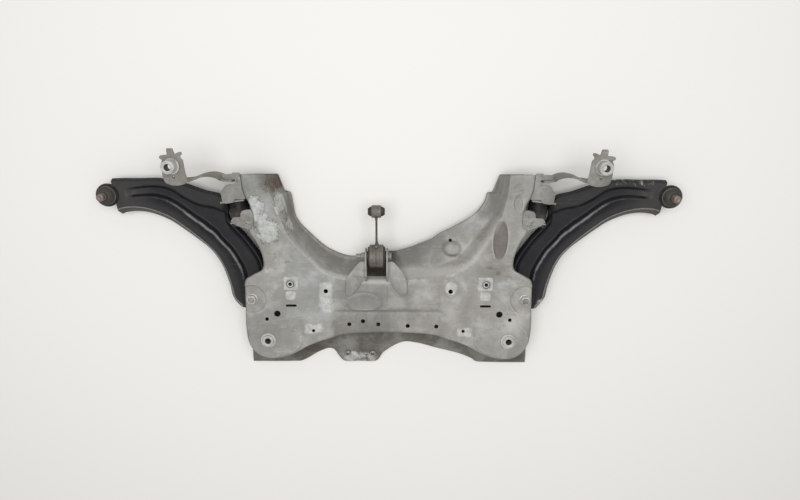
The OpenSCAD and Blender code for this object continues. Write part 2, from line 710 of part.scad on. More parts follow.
upper_shell();
lower_shell();
tab_nuts();
clevis_left();
clevis_right();
rear_sleeve("left");  // rear_sleeve_left
rear_sleeve("right");  // rear_sleeve_right
rack_sleeve("left");  // rack_sleeve_left
rack_sleeve("right");  // rack_sleeve_right
front_ear("left");  // front_ear_left
front_ear("right");  // front_ear_right
rear_ear("left");  // rear_ear_left
rear_ear("right");  // rear_ear_right
horn("left");  // horn_left
horn("right");  // horn_right
horn_sleeve("left");  // horn_sleeve_left
horn_sleeve("right");  // horn_sleeve_right
front_pivot_sleeve("left");  // front_pivot_sleeve_left
front_pivot_sleeve("right");  // front_pivot_sleeve_right
front_pivot_bolt("left");  // front_pivot_bolt_left
front_pivot_bolt("right");  // front_pivot_bolt_right
front_pivot_nut("left");  // front_pivot_nut_left
front_pivot_nut("right");  // front_pivot_nut_right
rear_pivot_sleeve("left");  // rear_pivot_sleeve_left
rear_pivot_sleeve("right");  // rear_pivot_sleeve_right
rear_pivot_bolt("left");  // rear_pivot_bolt_left
rear_pivot_bolt("right");  // rear_pivot_bolt_right
rear_pivot_nut("left");  // rear_pivot_nut_left
rear_pivot_nut("right");  // rear_pivot_nut_right
rod_inner_sleeve();
rod_bolt();
rod_nut();
torque_rod();
rod_large_rubber();
rod_small_rubber();
rod_small_sleeve();
control_arm("left");  // control_arm_left
control_arm("right");  // control_arm_right
front_eye("left");  // front_eye_left
front_eye("right");  // front_eye_right
front_rubber("left");  // front_rubber_left
front_rubber("right");  // front_rubber_right
rear_can("left");  // rear_can_left
rear_can("right");  // rear_can_right
rear_rubber("left");  // rear_rubber_left
rear_rubber("right");  // rear_rubber_right
ball_housing("left");  // ball_housing_left
ball_housing("right");  // ball_housing_right
ball_boot("left");  // ball_boot_left
ball_boot("right");  // ball_boot_right
ball_stud("left");  // ball_stud_left
ball_stud("right");  // ball_stud_right
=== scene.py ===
"""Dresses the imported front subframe: fine pressed shells and control arms, boots, threads, welds and worn paint."""

import json
import logging
import math
from dataclasses import dataclass, field, replace
from enum import Enum
from typing import Callable, Sequence, Union

import bmesh
import bpy
import numpy as np
from bpy.types import Material, Mesh, Node, NodeSocket, NodeTree, Object
from mathutils import Matrix, Vector


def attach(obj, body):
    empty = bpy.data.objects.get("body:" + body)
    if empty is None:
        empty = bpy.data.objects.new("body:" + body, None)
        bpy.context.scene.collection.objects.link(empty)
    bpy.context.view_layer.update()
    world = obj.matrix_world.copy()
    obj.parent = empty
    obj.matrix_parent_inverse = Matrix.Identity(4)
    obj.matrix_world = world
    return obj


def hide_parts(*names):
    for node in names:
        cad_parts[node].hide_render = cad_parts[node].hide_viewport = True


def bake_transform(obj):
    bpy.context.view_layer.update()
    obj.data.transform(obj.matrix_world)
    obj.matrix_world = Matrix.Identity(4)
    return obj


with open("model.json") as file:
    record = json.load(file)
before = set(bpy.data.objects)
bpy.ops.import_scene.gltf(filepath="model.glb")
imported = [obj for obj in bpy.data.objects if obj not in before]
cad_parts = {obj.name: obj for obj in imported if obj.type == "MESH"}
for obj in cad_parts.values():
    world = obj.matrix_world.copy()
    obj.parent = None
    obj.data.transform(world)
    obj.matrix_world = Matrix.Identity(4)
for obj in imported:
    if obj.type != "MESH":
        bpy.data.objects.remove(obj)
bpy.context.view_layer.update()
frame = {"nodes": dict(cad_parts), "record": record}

LOG = logging.getLogger("subframe")
MM = 0.001
# Distances below are in mm from the part's datum line; the frame's origin lies this far in front of it
DATUM_Y = 288.5
# Edges sharper than this, in degrees, stay sharp
SMOOTH = 38.0
Colour = tuple[float, float, float]
Point = tuple[float, float]
Faces = list[Sequence[int]]
Shape = tuple[np.ndarray, Faces]
Value = Union[NodeSocket, float, Colour]

# Places on the right side, in plan
REAR_PIVOT: Point = (334.0, 198.0)
FRONT_PIVOT: Point = (360.0, 418.0)
BODY_MOUNT: Point = (297.0, 93.0)
RACK_MOUNT: Point = (238.0, 238.0)
HORN_MOUNT: Point = (475.0, 533.0)
BALL_JOINT: Point = (674.0, 450.0)
# Height of the front bushes' middle
PIVOT_Z = 45.0


class Side(Enum):
    """The two sides of the car, with the sign of their x."""

    LEFT = -1
    RIGHT = 1

    @property
    def tag(self) -> str:
        """Returns: the side's part in node and body names."""
        return self.name.lower()

    def at(self, place: Point, z: float = 0.0) -> Matrix:
        """Returns: where a place of the right side lies on this one, in mm."""
        return Matrix.Translation((place[0] * self.value, place[1], z))


# Number helpers

def to_frame(points: np.ndarray | Sequence) -> np.ndarray:
    """Moves datum millimetres into the frame's metres."""
    return (np.asarray(points, float) - (0.0, DATUM_Y, 0.0)) * MM


def blend(a: float, b: float, v: np.ndarray | float) -> np.ndarray:
    """Smooth step from 0 at a to 1 at b."""
    t = np.clip((np.asarray(v, float) - a) / (b - a), 0.0, 1.0)
    return t * t * (3.0 - 2.0 * t)


def within(d: np.ndarray, edge: float, soft: float) -> np.ndarray:
    """1 inside a distance, 0 outside it."""
    return 1.0 - blend(edge - soft, edge + soft, d)


def box_mask(x: np.ndarray, y: np.ndarray, box: Sequence[float], soft: float) -> np.ndarray:
    """1 inside a rectangle, 0 outside it."""
    x0, x1, y0, y1 = box
    return (blend(x0 - soft, x0 + soft, x) * within(x, x1, soft)
            * blend(y0 - soft, y0 + soft, y) * within(y, y1, soft))


def oval(x: np.ndarray, y: np.ndarray, shape: Sequence[float]) -> np.ndarray:
    """Distance from an oval's centre, 1 on the oval."""
    cx, cy, rx, ry = shape
    return np.hypot((x - cx) / rx, (y - cy) / ry)


def curve(points: Sequence | np.ndarray, t: np.ndarray | float) -> np.ndarray:
    """A smooth curve through points.

    Args:
        points: the points.
        t: parameters that count the points.

    Returns:
        One point for each parameter.
    """
    p = np.asarray(points, float)
    t = np.atleast_1d(np.asarray(t, float))
    n = len(p) - 1
    i = np.clip(np.floor(t).astype(int), 0, n - 1)
    f = (t - i)[:, None]
    a, b, c, d = p[np.maximum(i - 1, 0)], p[i], p[i + 1], p[np.minimum(i + 2, n)]
    return 0.5 * (2 * b + (c - a) * f + (2 * a - 5 * b + 4 * c - d) * f ** 2 + (3 * b - a - 3 * c + d) * f ** 3)


def keyed(key: Sequence, s: np.ndarray) -> np.ndarray:
    """A curve through points that each belong to a station."""
    k = np.asarray(key, float)
    return curve(k[:, 1:], np.interp(s, k[:, 0], np.arange(len(k))))


def across(a: np.ndarray, b: np.ndarray, shares: np.ndarray) -> np.ndarray:
    """Points between two rails."""
    return a[:, None, :] + (b - a)[:, None, :] * np.asarray(shares)[None, :, None]


@dataclass(frozen=True)
class Surface:
    """A piece's points in datum mm, and how far each one faces up."""

    x: np.ndarray
    y: np.ndarray
    z: np.ndarray
    up: np.ndarray

    @property
    def folded(self) -> "Surface":
        """Returns: the points with both sides laid on the right one."""
        return replace(self, x=np.abs(self.x))

    def spot(self, shape: Sequence[float], edge: float = 0.7, soft: float = 0.5) -> np.ndarray:
        """A soft oval mark."""
        return within(oval(self.x, self.y, shape), edge, soft)

    def box(self, box: Sequence[float], soft: float) -> np.ndarray:
        """Returns: a mask of the rectangle x0, x1, y0, y1."""
        return box_mask(self.x, self.y, box, soft)

    def reach(self, place: Point) -> np.ndarray:
        """Returns: distances from a place in plan."""
        return np.hypot(self.x - place[0], self.y - place[1])

    def nearest(self, line: np.ndarray) -> np.ndarray:
        """Returns: distances in plan from the nearest point of a line."""
        return np.min([self.reach(place) for place in line], axis=0)


Mask = Callable[[Surface], np.ndarray]


def even(value: float) -> Mask:
    """Returns: a mask of one value all over."""
    return lambda p: np.full(len(p.x), value)


def bore_shade(side: Side, place: Point, top: float) -> Mask:
    """Painted shade in the bore of a body-mount sleeve."""
    middle = (place[0] * side.value, place[1])
    return lambda p: 0.95 * within(p.reach(middle), 7.7, 0.3) * (p.z < top)


# Mesh helpers

def make_object(name: str, verts: np.ndarray | Sequence, faces: Faces) -> Object:
    """Builds an object from datum millimetres, with its doubled corners joined and its faces turned outward.

    Args:
        name: the piece's name.
        verts: points in mm.
        faces: corner indices of each face.

    Returns:
        The linked object.
    """
    mesh = bpy.data.meshes.new(name)
    mesh.from_pydata(to_frame(verts).tolist(), [], [tuple(f) for f in faces])
    work = bmesh.new()
    work.from_mesh(mesh)
    bmesh.ops.remove_doubles(work, verts=work.verts[:], dist=1e-6)
    bmesh.ops.recalc_face_normals(work, faces=work.faces[:])
    work.to_mesh(mesh)
    work.free()
    shade(mesh)
    obj = bpy.data.objects.new(name, mesh)
    bpy.context.scene.collection.objects.link(obj)
    return obj


def shade(mesh: Mesh) -> None:
    """Smooth shading with sharp edges kept."""
    mesh.shade_smooth()
    mesh.set_sharp_from_angle(angle=math.radians(SMOOTH))


def bake(obj: Object) -> None:
    """Puts an object's modifiers into its mesh.

    Args:
        obj: the object.
    """
    graph = bpy.context.evaluated_depsgraph_get()
    made = bpy.data.meshes.new_from_object(obj.evaluated_get(graph))
    old = obj.data
    obj.modifiers.clear()
    obj.data = made
    made.name = obj.name
    bpy.data.meshes.remove(old)


def drop(obj: Object) -> None:
    """Deletes a helper object and its mesh."""
    mesh = obj.data
    bpy.data.objects.remove(obj)
    bpy.data.meshes.remove(mesh)


def stack(rings: Sequence[np.ndarray], closed: bool = False) -> Shape:
    """A skin over rings of points.

    Args:
        rings: rings with the same number of points.
        closed: joins the last ring to the first one instead of capping both.

    Returns:
        Points and faces.
    """
    n = len(rings[0])
    verts = np.concatenate(rings)
    faces: Faces = []
    last = len(rings) if closed else len(rings) - 1
    for i in range(last):
        a, b = i * n, ((i + 1) % len(rings)) * n
        faces += [(a + j, a + (j + 1) % n, b + (j + 1) % n, b + j) for j in range(n)]
    if not closed:
        faces += [tuple(range(n))[::-1], tuple(range((len(rings) - 1) * n, len(rings) * n))]
    return verts, faces


def lathe(profile: Sequence[Point], sides: int = 64, closed: bool = True) -> Shape:
    """A turned solid round z."""
    return stack([round_ring(r, z, sides) for r, z in profile], closed)


def moved(verts: np.ndarray, matrix: Matrix) -> np.ndarray:
    """Points carried by a matrix."""
    m = np.array(matrix)
    return verts @ m[:3, :3].T + m[:3, 3]


def merged(shapes: Sequence[Shape]) -> Shape:
    """Several shapes as one list of points and faces.

    Args:
        shapes: points and faces of each.

    Returns:
        Points and faces of all.
    """
    verts, faces, count = [], [], 0
    for v, f in shapes:
        verts.append(np.asarray(v, float))
        faces += [tuple(count + i for i in face) for face in f]
        count += len(v)
    return np.concatenate(verts), faces


def sheet(rows: np.ndarray, thickness: float) -> Shape:
    """A pressed sheet with a thickness along its normals.

    Args:
        rows: points of the upper face, rows by columns.
        thickness: sheet thickness in mm.

    Returns:
        Points and faces of the closed sheet.
    """
    n, m = rows.shape[:2]
    normal = np.cross(np.gradient(rows, axis=0), np.gradient(rows, axis=1))
    normal /= np.maximum(np.linalg.norm(normal, axis=2, keepdims=True), 1e-9)
    under = rows - thickness * normal
    k = n * m
    a = (np.arange(n - 1)[:, None] * m + np.arange(m - 1)[None, :]).ravel()
    top = np.column_stack([a, a + m, a + m + 1, a + 1])
    faces = top.tolist() + (top[:, ::-1] + k).tolist()
    rim = list(range(m)) + [i * m + m - 1 for i in range(1, n)]
    rim += [(n - 1) * m + j for j in range(m - 2, -1, -1)] + [i * m for i in range(n - 2, 0, -1)]
    faces += [(p, q, q + k, p + k) for p, q in zip(rim, rim[1:] + rim[:1])]
    return np.concatenate([rows.reshape(-1, 3), under.reshape(-1, 3)]), faces


def hex_ring(size: float, z: float, cap: float, sides: int = 72) -> np.ndarray:
    """One ring of a hexagon whose corners are turned off.

    Args:
        size: width across flats.
        z: height of the ring.
        cap: largest radius.
        sides: points a ring.

    Returns:
        The ring's points.
    """
    turn = np.linspace(0, 2 * math.pi, sides, endpoint=False)
    flat = size / 2 / np.cos((turn % (math.pi / 3)) - math.pi / 6)
    r = np.minimum(flat, cap)
    return np.column_stack([r * np.cos(turn), r * np.sin(turn), np.full(sides, z)])


def round_ring(r: float, z: float, sides: int = 72) -> np.ndarray:
    """A circle of points."""
    return hex_ring(1e6, z, r, sides)


def rounded(outline: Sequence[Point], r: float, steps: int = 5) -> np.ndarray:
    """A polygon with its corners rounded off.

    Args:
        outline: the corners.
        r: how far from a corner the rounding starts.
        steps: pieces of each rounding.

    Returns:
        The rounded outline.
    """
    pts = np.asarray(outline, float)
    t = np.linspace(0, 1, steps + 1)[:, None]
    made = []
    for i, b in enumerate(pts):
        to_a, to_c = pts[i - 1] - b, pts[(i + 1) % len(pts)] - b
        la, lc = np.linalg.norm(to_a), np.linalg.norm(to_c)
        d = min(r, 0.45 * la, 0.45 * lc)
        start, end = b + to_a / la * d, b + to_c / lc * d
        made.append((1 - t) ** 2 * start + 2 * t * (1 - t) * b + t * t * end)
    return np.concatenate(made)


def plate(name: str, outline: np.ndarray, z0: float, z1: float, matrix: Matrix | None = None,
          bevel: float = 0.8) -> Object:
    """A flat plate with softened edges.

    Args:
        name: the object's name.
        outline: its plan in mm.
        z0: its lower face.
        z1: its upper face.
        matrix: where it goes, in mm.
        bevel: size of the softened edge.

    Returns:
        The object.
    """
    verts, faces = stack([np.column_stack([outline, np.full(len(outline), z)]) for z in (z0, z1)])
    obj = make_object(name, moved(verts, matrix) if matrix else verts, faces)
    soft = obj.modifiers.new("edge", "BEVEL")
    soft.width = bevel * MM
    soft.segments = 2
    soft.limit_method = "ANGLE"
    soft.angle_limit = math.radians(50)
    bake(obj)
    shade(obj.data)
    return obj


def combine(base: Object, parts: Sequence[Object], operation: str) -> None:
    """Welds objects to a piece or cuts them out of it.

    Args:
        base: the piece.
        parts: the objects, which are used up.
        operation: UNION or DIFFERENCE.
    """
    for part in parts:
        step = base.modifiers.new("shape", "BOOLEAN")
        step.operation = operation
        step.solver = "MANIFOLD"
        step.object = part
    bake(base)
    for part in parts:
        drop(part)
    shade(base.data)


def add_mesh(obj: Object, extra: Mesh) -> None:
    """Adds another mesh's faces to a piece.

    Args:
        obj: the piece.
        extra: the mesh, which is deleted.
    """
    work = bmesh.new()
    work.from_mesh(obj.data)
    work.from_mesh(extra)
    work.to_mesh(obj.data)
    work.free()
    bpy.data.meshes.remove(extra)
    shade(obj.data)


def solid(name: str, shape: Shape, matrix: Matrix) -> Object:
    """A piece at its place."""
    return make_object(name, moved(shape[0], matrix), shape[1])


def flip(obj: Object, side: Side) -> None:
    """Turns a piece that was made for the left side into the right one, where that is its side."""
    if side is Side.RIGHT:
        obj.data.transform(Matrix.Scale(-1, 4, (1, 0, 0)))
        obj.data.flip_normals()


class Cutter:
    """Prisms and bores that are cut out of a piece in one go."""

    def __init__(self) -> None:
        """Starts with no prisms."""
        self.shapes: list[Shape] = []

    def prism(self, outline: np.ndarray | Sequence[Point], z0: float, z1: float) -> "Cutter":
        """Adds a prism.

        Args:
            outline: its plan, in mm.
            z0: its lower end.
            z1: its upper end.

        Returns:
            The cutter.
        """
        plan = np.asarray(outline, float)
        rings = [np.column_stack([plan, np.full(len(plan), z)]) for z in (z0, z1)]
        self.shapes.append(stack(rings))
        return self

    def hole(self, x: float, y: float, d: float, z0: float = -5.0, z1: float = 150.0) -> "Cutter":
        """Adds a round hole."""
        return self.prism(round_ring(d / 2, 0, 48)[:, :2] + (x, y), z0, z1)

    def slot(self, box: Sequence[float], r: float, z0: float, z1: float) -> "Cutter":
        """Adds a rectangle with rounded corners.

        Args:
            box: x0, x1, y0, y1.
            r: corner radius.
            z0: its lower end.
            z1: its upper end.

        Returns:
            The cutter.
        """
        x0, x1, y0, y1 = box
        turn = np.linspace(0, math.pi / 2, 7)
        plan = [(cx + r * math.cos(t + q * math.pi / 2), cy + r * math.sin(t + q * math.pi / 2))
                for q, (cx, cy) in enumerate(((x1 - r, y1 - r), (x0 + r, y1 - r), (x0 + r, y0 + r), (x1 - r, y0 + r)))
                for t in turn]
        return self.prism(plan, z0, z1)

    def bore(self, r: float, ends: Point, matrix: Matrix) -> "Cutter":
        """Adds a round bore in any direction."""
        verts, faces = stack([round_ring(r, z) for z in ends])
        self.shapes.append((moved(verts, matrix), faces))
        return self

    def apply(self, obj: Object) -> None:
        """Cuts all of them out of a piece."""
        combine(obj, [make_object("cutter", *merged(self.shapes))], "DIFFERENCE")


def write_masks(obj: Object, masks: dict[str, Mask]) -> None:
    """Stores masks on a piece's points for its paint to read.

    Args:
        obj: the piece.
        masks: a mask for each attribute name.
    """
    mesh = obj.data
    co = np.empty(len(mesh.vertices) * 3)
    mesh.vertices.foreach_get("co", co)
    normal = np.empty(len(mesh.vertices) * 3)
    mesh.vertices.foreach_get("normal", normal)
    points = Surface(*(co.reshape(-1, 3) / MM + (0.0, DATUM_Y, 0.0)).T, normal[2::3])
    for name, mask in masks.items():
        layer = mesh.attributes.new(name, "FLOAT", "POINT")
        layer.data.foreach_set("value", np.clip(mask(points), 0, 1).astype(np.float32))


def place(obj: Object, material: Material, slot: str, body: str, nodes: Sequence[str] = (),
          bends: tuple[str, Sequence[float], Sequence[float]] | None = None) -> None:
    """Gives a piece its paint and its body, and hides the CAD nodes that it stands for; with bends, its place is baked
    into its mesh instead of a body.

    Args:
        obj: the piece.
        material: its material.
        slot: the record's material slot; not used.
        body: the body it rides on.
        nodes: the CAD nodes that it stands for.
        bends: a second body and two points (datum mm); when given, the piece's place is baked into its mesh and it goes
            on no body.
    """
    obj.data.materials.clear()
    obj.data.materials.append(material)
    if nodes:
        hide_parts(*nodes)
    if bends:
        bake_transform(obj)
    else:
        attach(obj, body)
    LOG.info("%s: %d faces on %s", obj.name, len(obj.data.polygons), body)


# Shader building

class Graph:
    """Short calls for building a node tree."""

    def __init__(self, tree: NodeTree) -> None:
        """Takes the tree that the nodes go in."""
        self.tree = tree

    def node(self, kind: str, inputs: dict | None = None, **settings) -> Node:
        """Adds a node.

        Args:
            kind: the node's type name.
            inputs: values or sockets for its inputs, by name or index.
            settings: properties of the node.

        Returns:
            The node.
        """
        made = self.tree.nodes.new(kind)
        for key, value in settings.items():
            setattr(made, key, value)
        for key, value in (inputs or {}).items():
            self.feed(made.inputs[key], value)
        return made

    def feed(self, socket: NodeSocket, value: Value) -> None:
        """Links a socket or sets an input's value.

        Args:
            socket: the input.
            value: a socket, or a plain value.
        """
        if isinstance(value, NodeSocket):
            self.tree.links.new(value, socket)
        elif isinstance(value, tuple) and len(value) == 3 and socket.type == "RGBA":
            socket.default_value = (*value, 1.0)
        else:
            socket.default_value = value

    def math(self, op: str, a: Value, b: Value = 0.0, clamp: bool = False) -> NodeSocket:
        """A Math node."""
        return self.node("ShaderNodeMath", {0: a, 1: b}, operation=op, use_clamp=clamp).outputs[0]

    def times(self, a: Value, b: Value, clamp: bool = False) -> NodeSocket:
        """Returns: the product of two values or sockets."""
        return self.math("MULTIPLY", a, b, clamp)

    def plus(self, a: Value, b: Value, clamp: bool = False) -> NodeSocket:
        """Returns: the sum of two values or sockets."""
        return self.math("ADD", a, b, clamp)

    def mix(self, fac: Value, a: Value, b: Value, mode: str = "MIX") -> NodeSocket:
        """Returns: colour a, blended with as much of b as the factor says."""
        return self.node("ShaderNodeMix", {0: fac, 6: a, 7: b}, data_type="RGBA", blend_type=mode,
                         clamp_factor=True).outputs[2]

    def ramp(self, value: Value, low: float, high: float, to: Point = (0.0, 1.0)) -> NodeSocket:
        """A clamped smooth step."""
        made = self.node("ShaderNodeMapRange", {0: value, 1: low, 2: high, 3: to[0], 4: to[1]},
                         interpolation_type="SMOOTHSTEP", clamp=True)
        return made.outputs[0]

    def noise(self, scale: Value, detail: float = 4.0, rough: float = 0.55,
              vector: NodeSocket | None = None, twist: float = 0.0) -> NodeSocket:
        """A noise texture."""
        where = vector if vector is not None else self.place()
        return self.node("ShaderNodeTexNoise", {"Vector": where, "Scale": scale, "Detail": detail,
                                                "Roughness": rough, "Distortion": twist}).outputs[0]

    def place(self) -> NodeSocket:
        """Returns: the object coordinates' socket."""
        return self.node("ShaderNodeTexCoord").outputs["Object"]

    def stretch(self, scale: Colour, turn: float = 0.0) -> NodeSocket:
        """Stretched object coordinates."""
        return self.node("ShaderNodeMapping", {"Vector": self.place(), "Scale": scale,
                                               "Rotation": (0.0, 0.0, math.radians(turn))}).outputs[0]

    def mask(self, name: str) -> NodeSocket:
        """A mask stored on the piece's points."""
        return self.node("ShaderNodeAttribute", attribute_name=name).outputs["Fac"]

    def ragged(self, strength: float, *noise: float, twist: float = 0.0) -> NodeSocket:
        """Noise round zero, which makes a mask's border ragged."""
        return self.times(self.math("SUBTRACT", self.noise(*noise, twist=twist), 0.5), strength)

    def wash(self, colour: Value, mask: Value, share: float, tone: Value) -> NodeSocket:
        """Returns: a colour that a tone covers by a share of a mask."""
        return self.mix(self.times(mask, share), colour, tone)

    def mottle(self, tones: Sequence[Value], low: float, high: float, *noise: float) -> NodeSocket:
        """Two tones in patches."""
        return self.mix(self.ramp(self.noise(*noise), low, high), *tones)

    def group(self, tree: NodeTree, inputs: dict[str, Value]) -> Node:
        """Returns: a node of a shader group, with values or sockets for its named inputs."""
        return self.node("ShaderNodeGroup", inputs, node_tree=tree)


def open_material(name: str) -> tuple[Material, Graph, Node]:
    """Starts a material."""
    mat = bpy.data.materials.new(name)
    mat.use_nodes = True
    return mat, Graph(mat.node_tree), mat.node_tree.nodes["Principled BSDF"]


def close_material(g: Graph, shader: Node, colour: Value, rough: Value, height: Value, bump: Point) -> None:
    """Feeds a material's shader.

    Args:
        g: the graph.
        shader: the shader.
        colour: its base colour.
        rough: its roughness.
        height: the height of its bumps.
        bump: their strength and their distance in metres.
    """
    g.feed(shader.inputs["Base Color"], colour)
    g.feed(shader.inputs["Roughness"], rough)
    made = g.node("ShaderNodeBump", {"Strength": bump[0], "Distance": bump[1], "Height": height})
    g.feed(shader.inputs["Normal"], made.outputs[0])


def open_tree(name: str, kind: str, inputs: dict[str, tuple[str, object]], outputs: dict[str, str]
              ) -> tuple[Graph, Node, Node]:
    """Starts a node tree with named sockets.

    Args:
        name: the tree's name.
        kind: the tree's type.
        inputs: socket type and default of each input.
        outputs: socket type of each output.

    Returns:
        The graph, its input node and its output node.
    """
    tree = bpy.data.node_groups.new(name, kind)
    for key, (socket, default) in inputs.items():
        made = tree.interface.new_socket(key, in_out="INPUT", socket_type=f"NodeSocket{socket}")
        if default is not None:
            made.default_value = default
    for key, socket in outputs.items():
        tree.interface.new_socket(key, in_out="OUTPUT", socket_type=f"NodeSocket{socket}")
    graph = Graph(tree)
    return graph, graph.node("NodeGroupInput"), graph.node("NodeGroupOutput")


class ShaderGroups:
    """The effects that several paints share."""

    def __init__(self) -> None:
        """Builds every group once."""
        self.grain = self._grain()
        self.rust = self._rust()
        self.scratch = self._scratch()
        self.dust = self._dust()

    @staticmethod
    def open(name: str, inputs: dict[str, float], **outputs: str) -> tuple[Graph, dict, Node]:
        """Starts a group of float inputs: gives its graph, its input sockets by name and its output node."""
        g, start, end = open_tree(name, "ShaderNodeTree", {k: ("Float", v) for k, v in inputs.items()}, outputs)
        return g, {key: start.outputs[key] for key in inputs}, end

    def _grain(self) -> NodeTree:
        """Returns: blotches and specks of weathered paint, as two masks and a height."""
        g, i, end = self.open("worn_grain", {"Scale": 30.0, "Contrast": 1.0}, Blotch="Float", Speck="Float",
                              Height="Float")
        broad = g.noise(g.times(i["Scale"], 0.3), 5.0, 0.6, twist=0.6)
        fine = g.noise(i["Scale"], 8.0, 0.68, twist=0.3)
        both = g.plus(g.times(broad, 0.55), g.times(fine, 0.45))
        spread = g.times(g.math("SUBTRACT", both, 0.5), g.times(i["Contrast"], 3.2))
        speck = g.noise(g.times(i["Scale"], 14.0), 3.0, 0.7)
        g.feed(end.inputs["Blotch"], g.plus(spread, 0.5, clamp=True))
        g.feed(end.inputs["Speck"], g.ramp(speck, 0.6, 0.74))
        g.feed(end.inputs["Height"], g.plus(fine, g.times(speck, 0.5)))
        return g.tree

    def _rust(self) -> NodeTree:
        """Returns: rust that grows out of a mask, as an amount, a colour and a height."""
        g, i, end = self.open("rust_bloom", {"Mask": 0.0, "Scale": 60.0}, Amount="Float", Color="Color", Height="Float")
        cloud = g.noise(i["Scale"], 9.0, 0.7, twist=0.4)
        pits = g.noise(g.times(i["Scale"], 6.0), 4.0, 0.7)
        grown = g.plus(i["Mask"], g.times(g.math("SUBTRACT", cloud, 0.5), 1.5))
        tone = g.mix(g.ramp(pits, 0.35, 0.7), (0.04, 0.022, 0.014), (0.125, 0.066, 0.038))
        pale = g.mix(g.ramp(cloud, 0.55, 0.75), tone, (0.2, 0.125, 0.08))
        g.feed(end.inputs["Amount"], g.ramp(grown, 0.42, 0.62))
        g.feed(end.inputs["Color"], pale)
        g.feed(end.inputs["Height"], pits)
        return g.tree

    def _scratch(self) -> NodeTree:
        """Returns: thin scratches in three directions, as a mask."""
        g, i, end = self.open("fine_scratches", {"Scale": 1.0, "Amount": 0.5}, Mask="Float")
        lines = []
        for turn in (24.0, -57.0, 81.0):
            long = g.node("ShaderNodeVectorMath", {0: g.stretch((9.0, 260.0, 40.0), turn)}, operation="SCALE")
            g.feed(long.inputs["Scale"], i["Scale"])
            lines.append(g.ramp(g.noise(1.0, 2.0, 0.5, long.outputs[0], 0.2), 0.69, 0.73))
        gate = g.ramp(g.noise(14.0, 2.0), 0.45, 0.6)
        total = g.math("MAXIMUM", g.math("MAXIMUM", lines[0], lines[1]), lines[2])
        g.feed(end.inputs["Mask"], g.times(g.times(total, gate), i["Amount"], clamp=True))
        return g.tree

    def _dust(self) -> NodeTree:
        """Returns: dust that lies on upward faces, and a mask of steep faces that the paints darken."""
        g, i, end = self.open("settled_dust", {"Amount": 0.5}, Dust="Float", Steep="Float")
        normal = g.node("ShaderNodeNewGeometry").outputs["Normal"]
        up = g.node("ShaderNodeSeparateXYZ", {0: normal}).outputs["Z"]
        cloud = g.ramp(g.noise(22.0, 6.0, 0.65), 0.35, 0.7)
        lying = g.times(g.ramp(up, 0.45, 0.95), g.times(cloud, i["Amount"]), clamp=True)
        g.feed(end.inputs["Dust"], lying)
        g.feed(end.inputs["Steep"], g.ramp(up, 0.985, 0.7))
        return g.tree


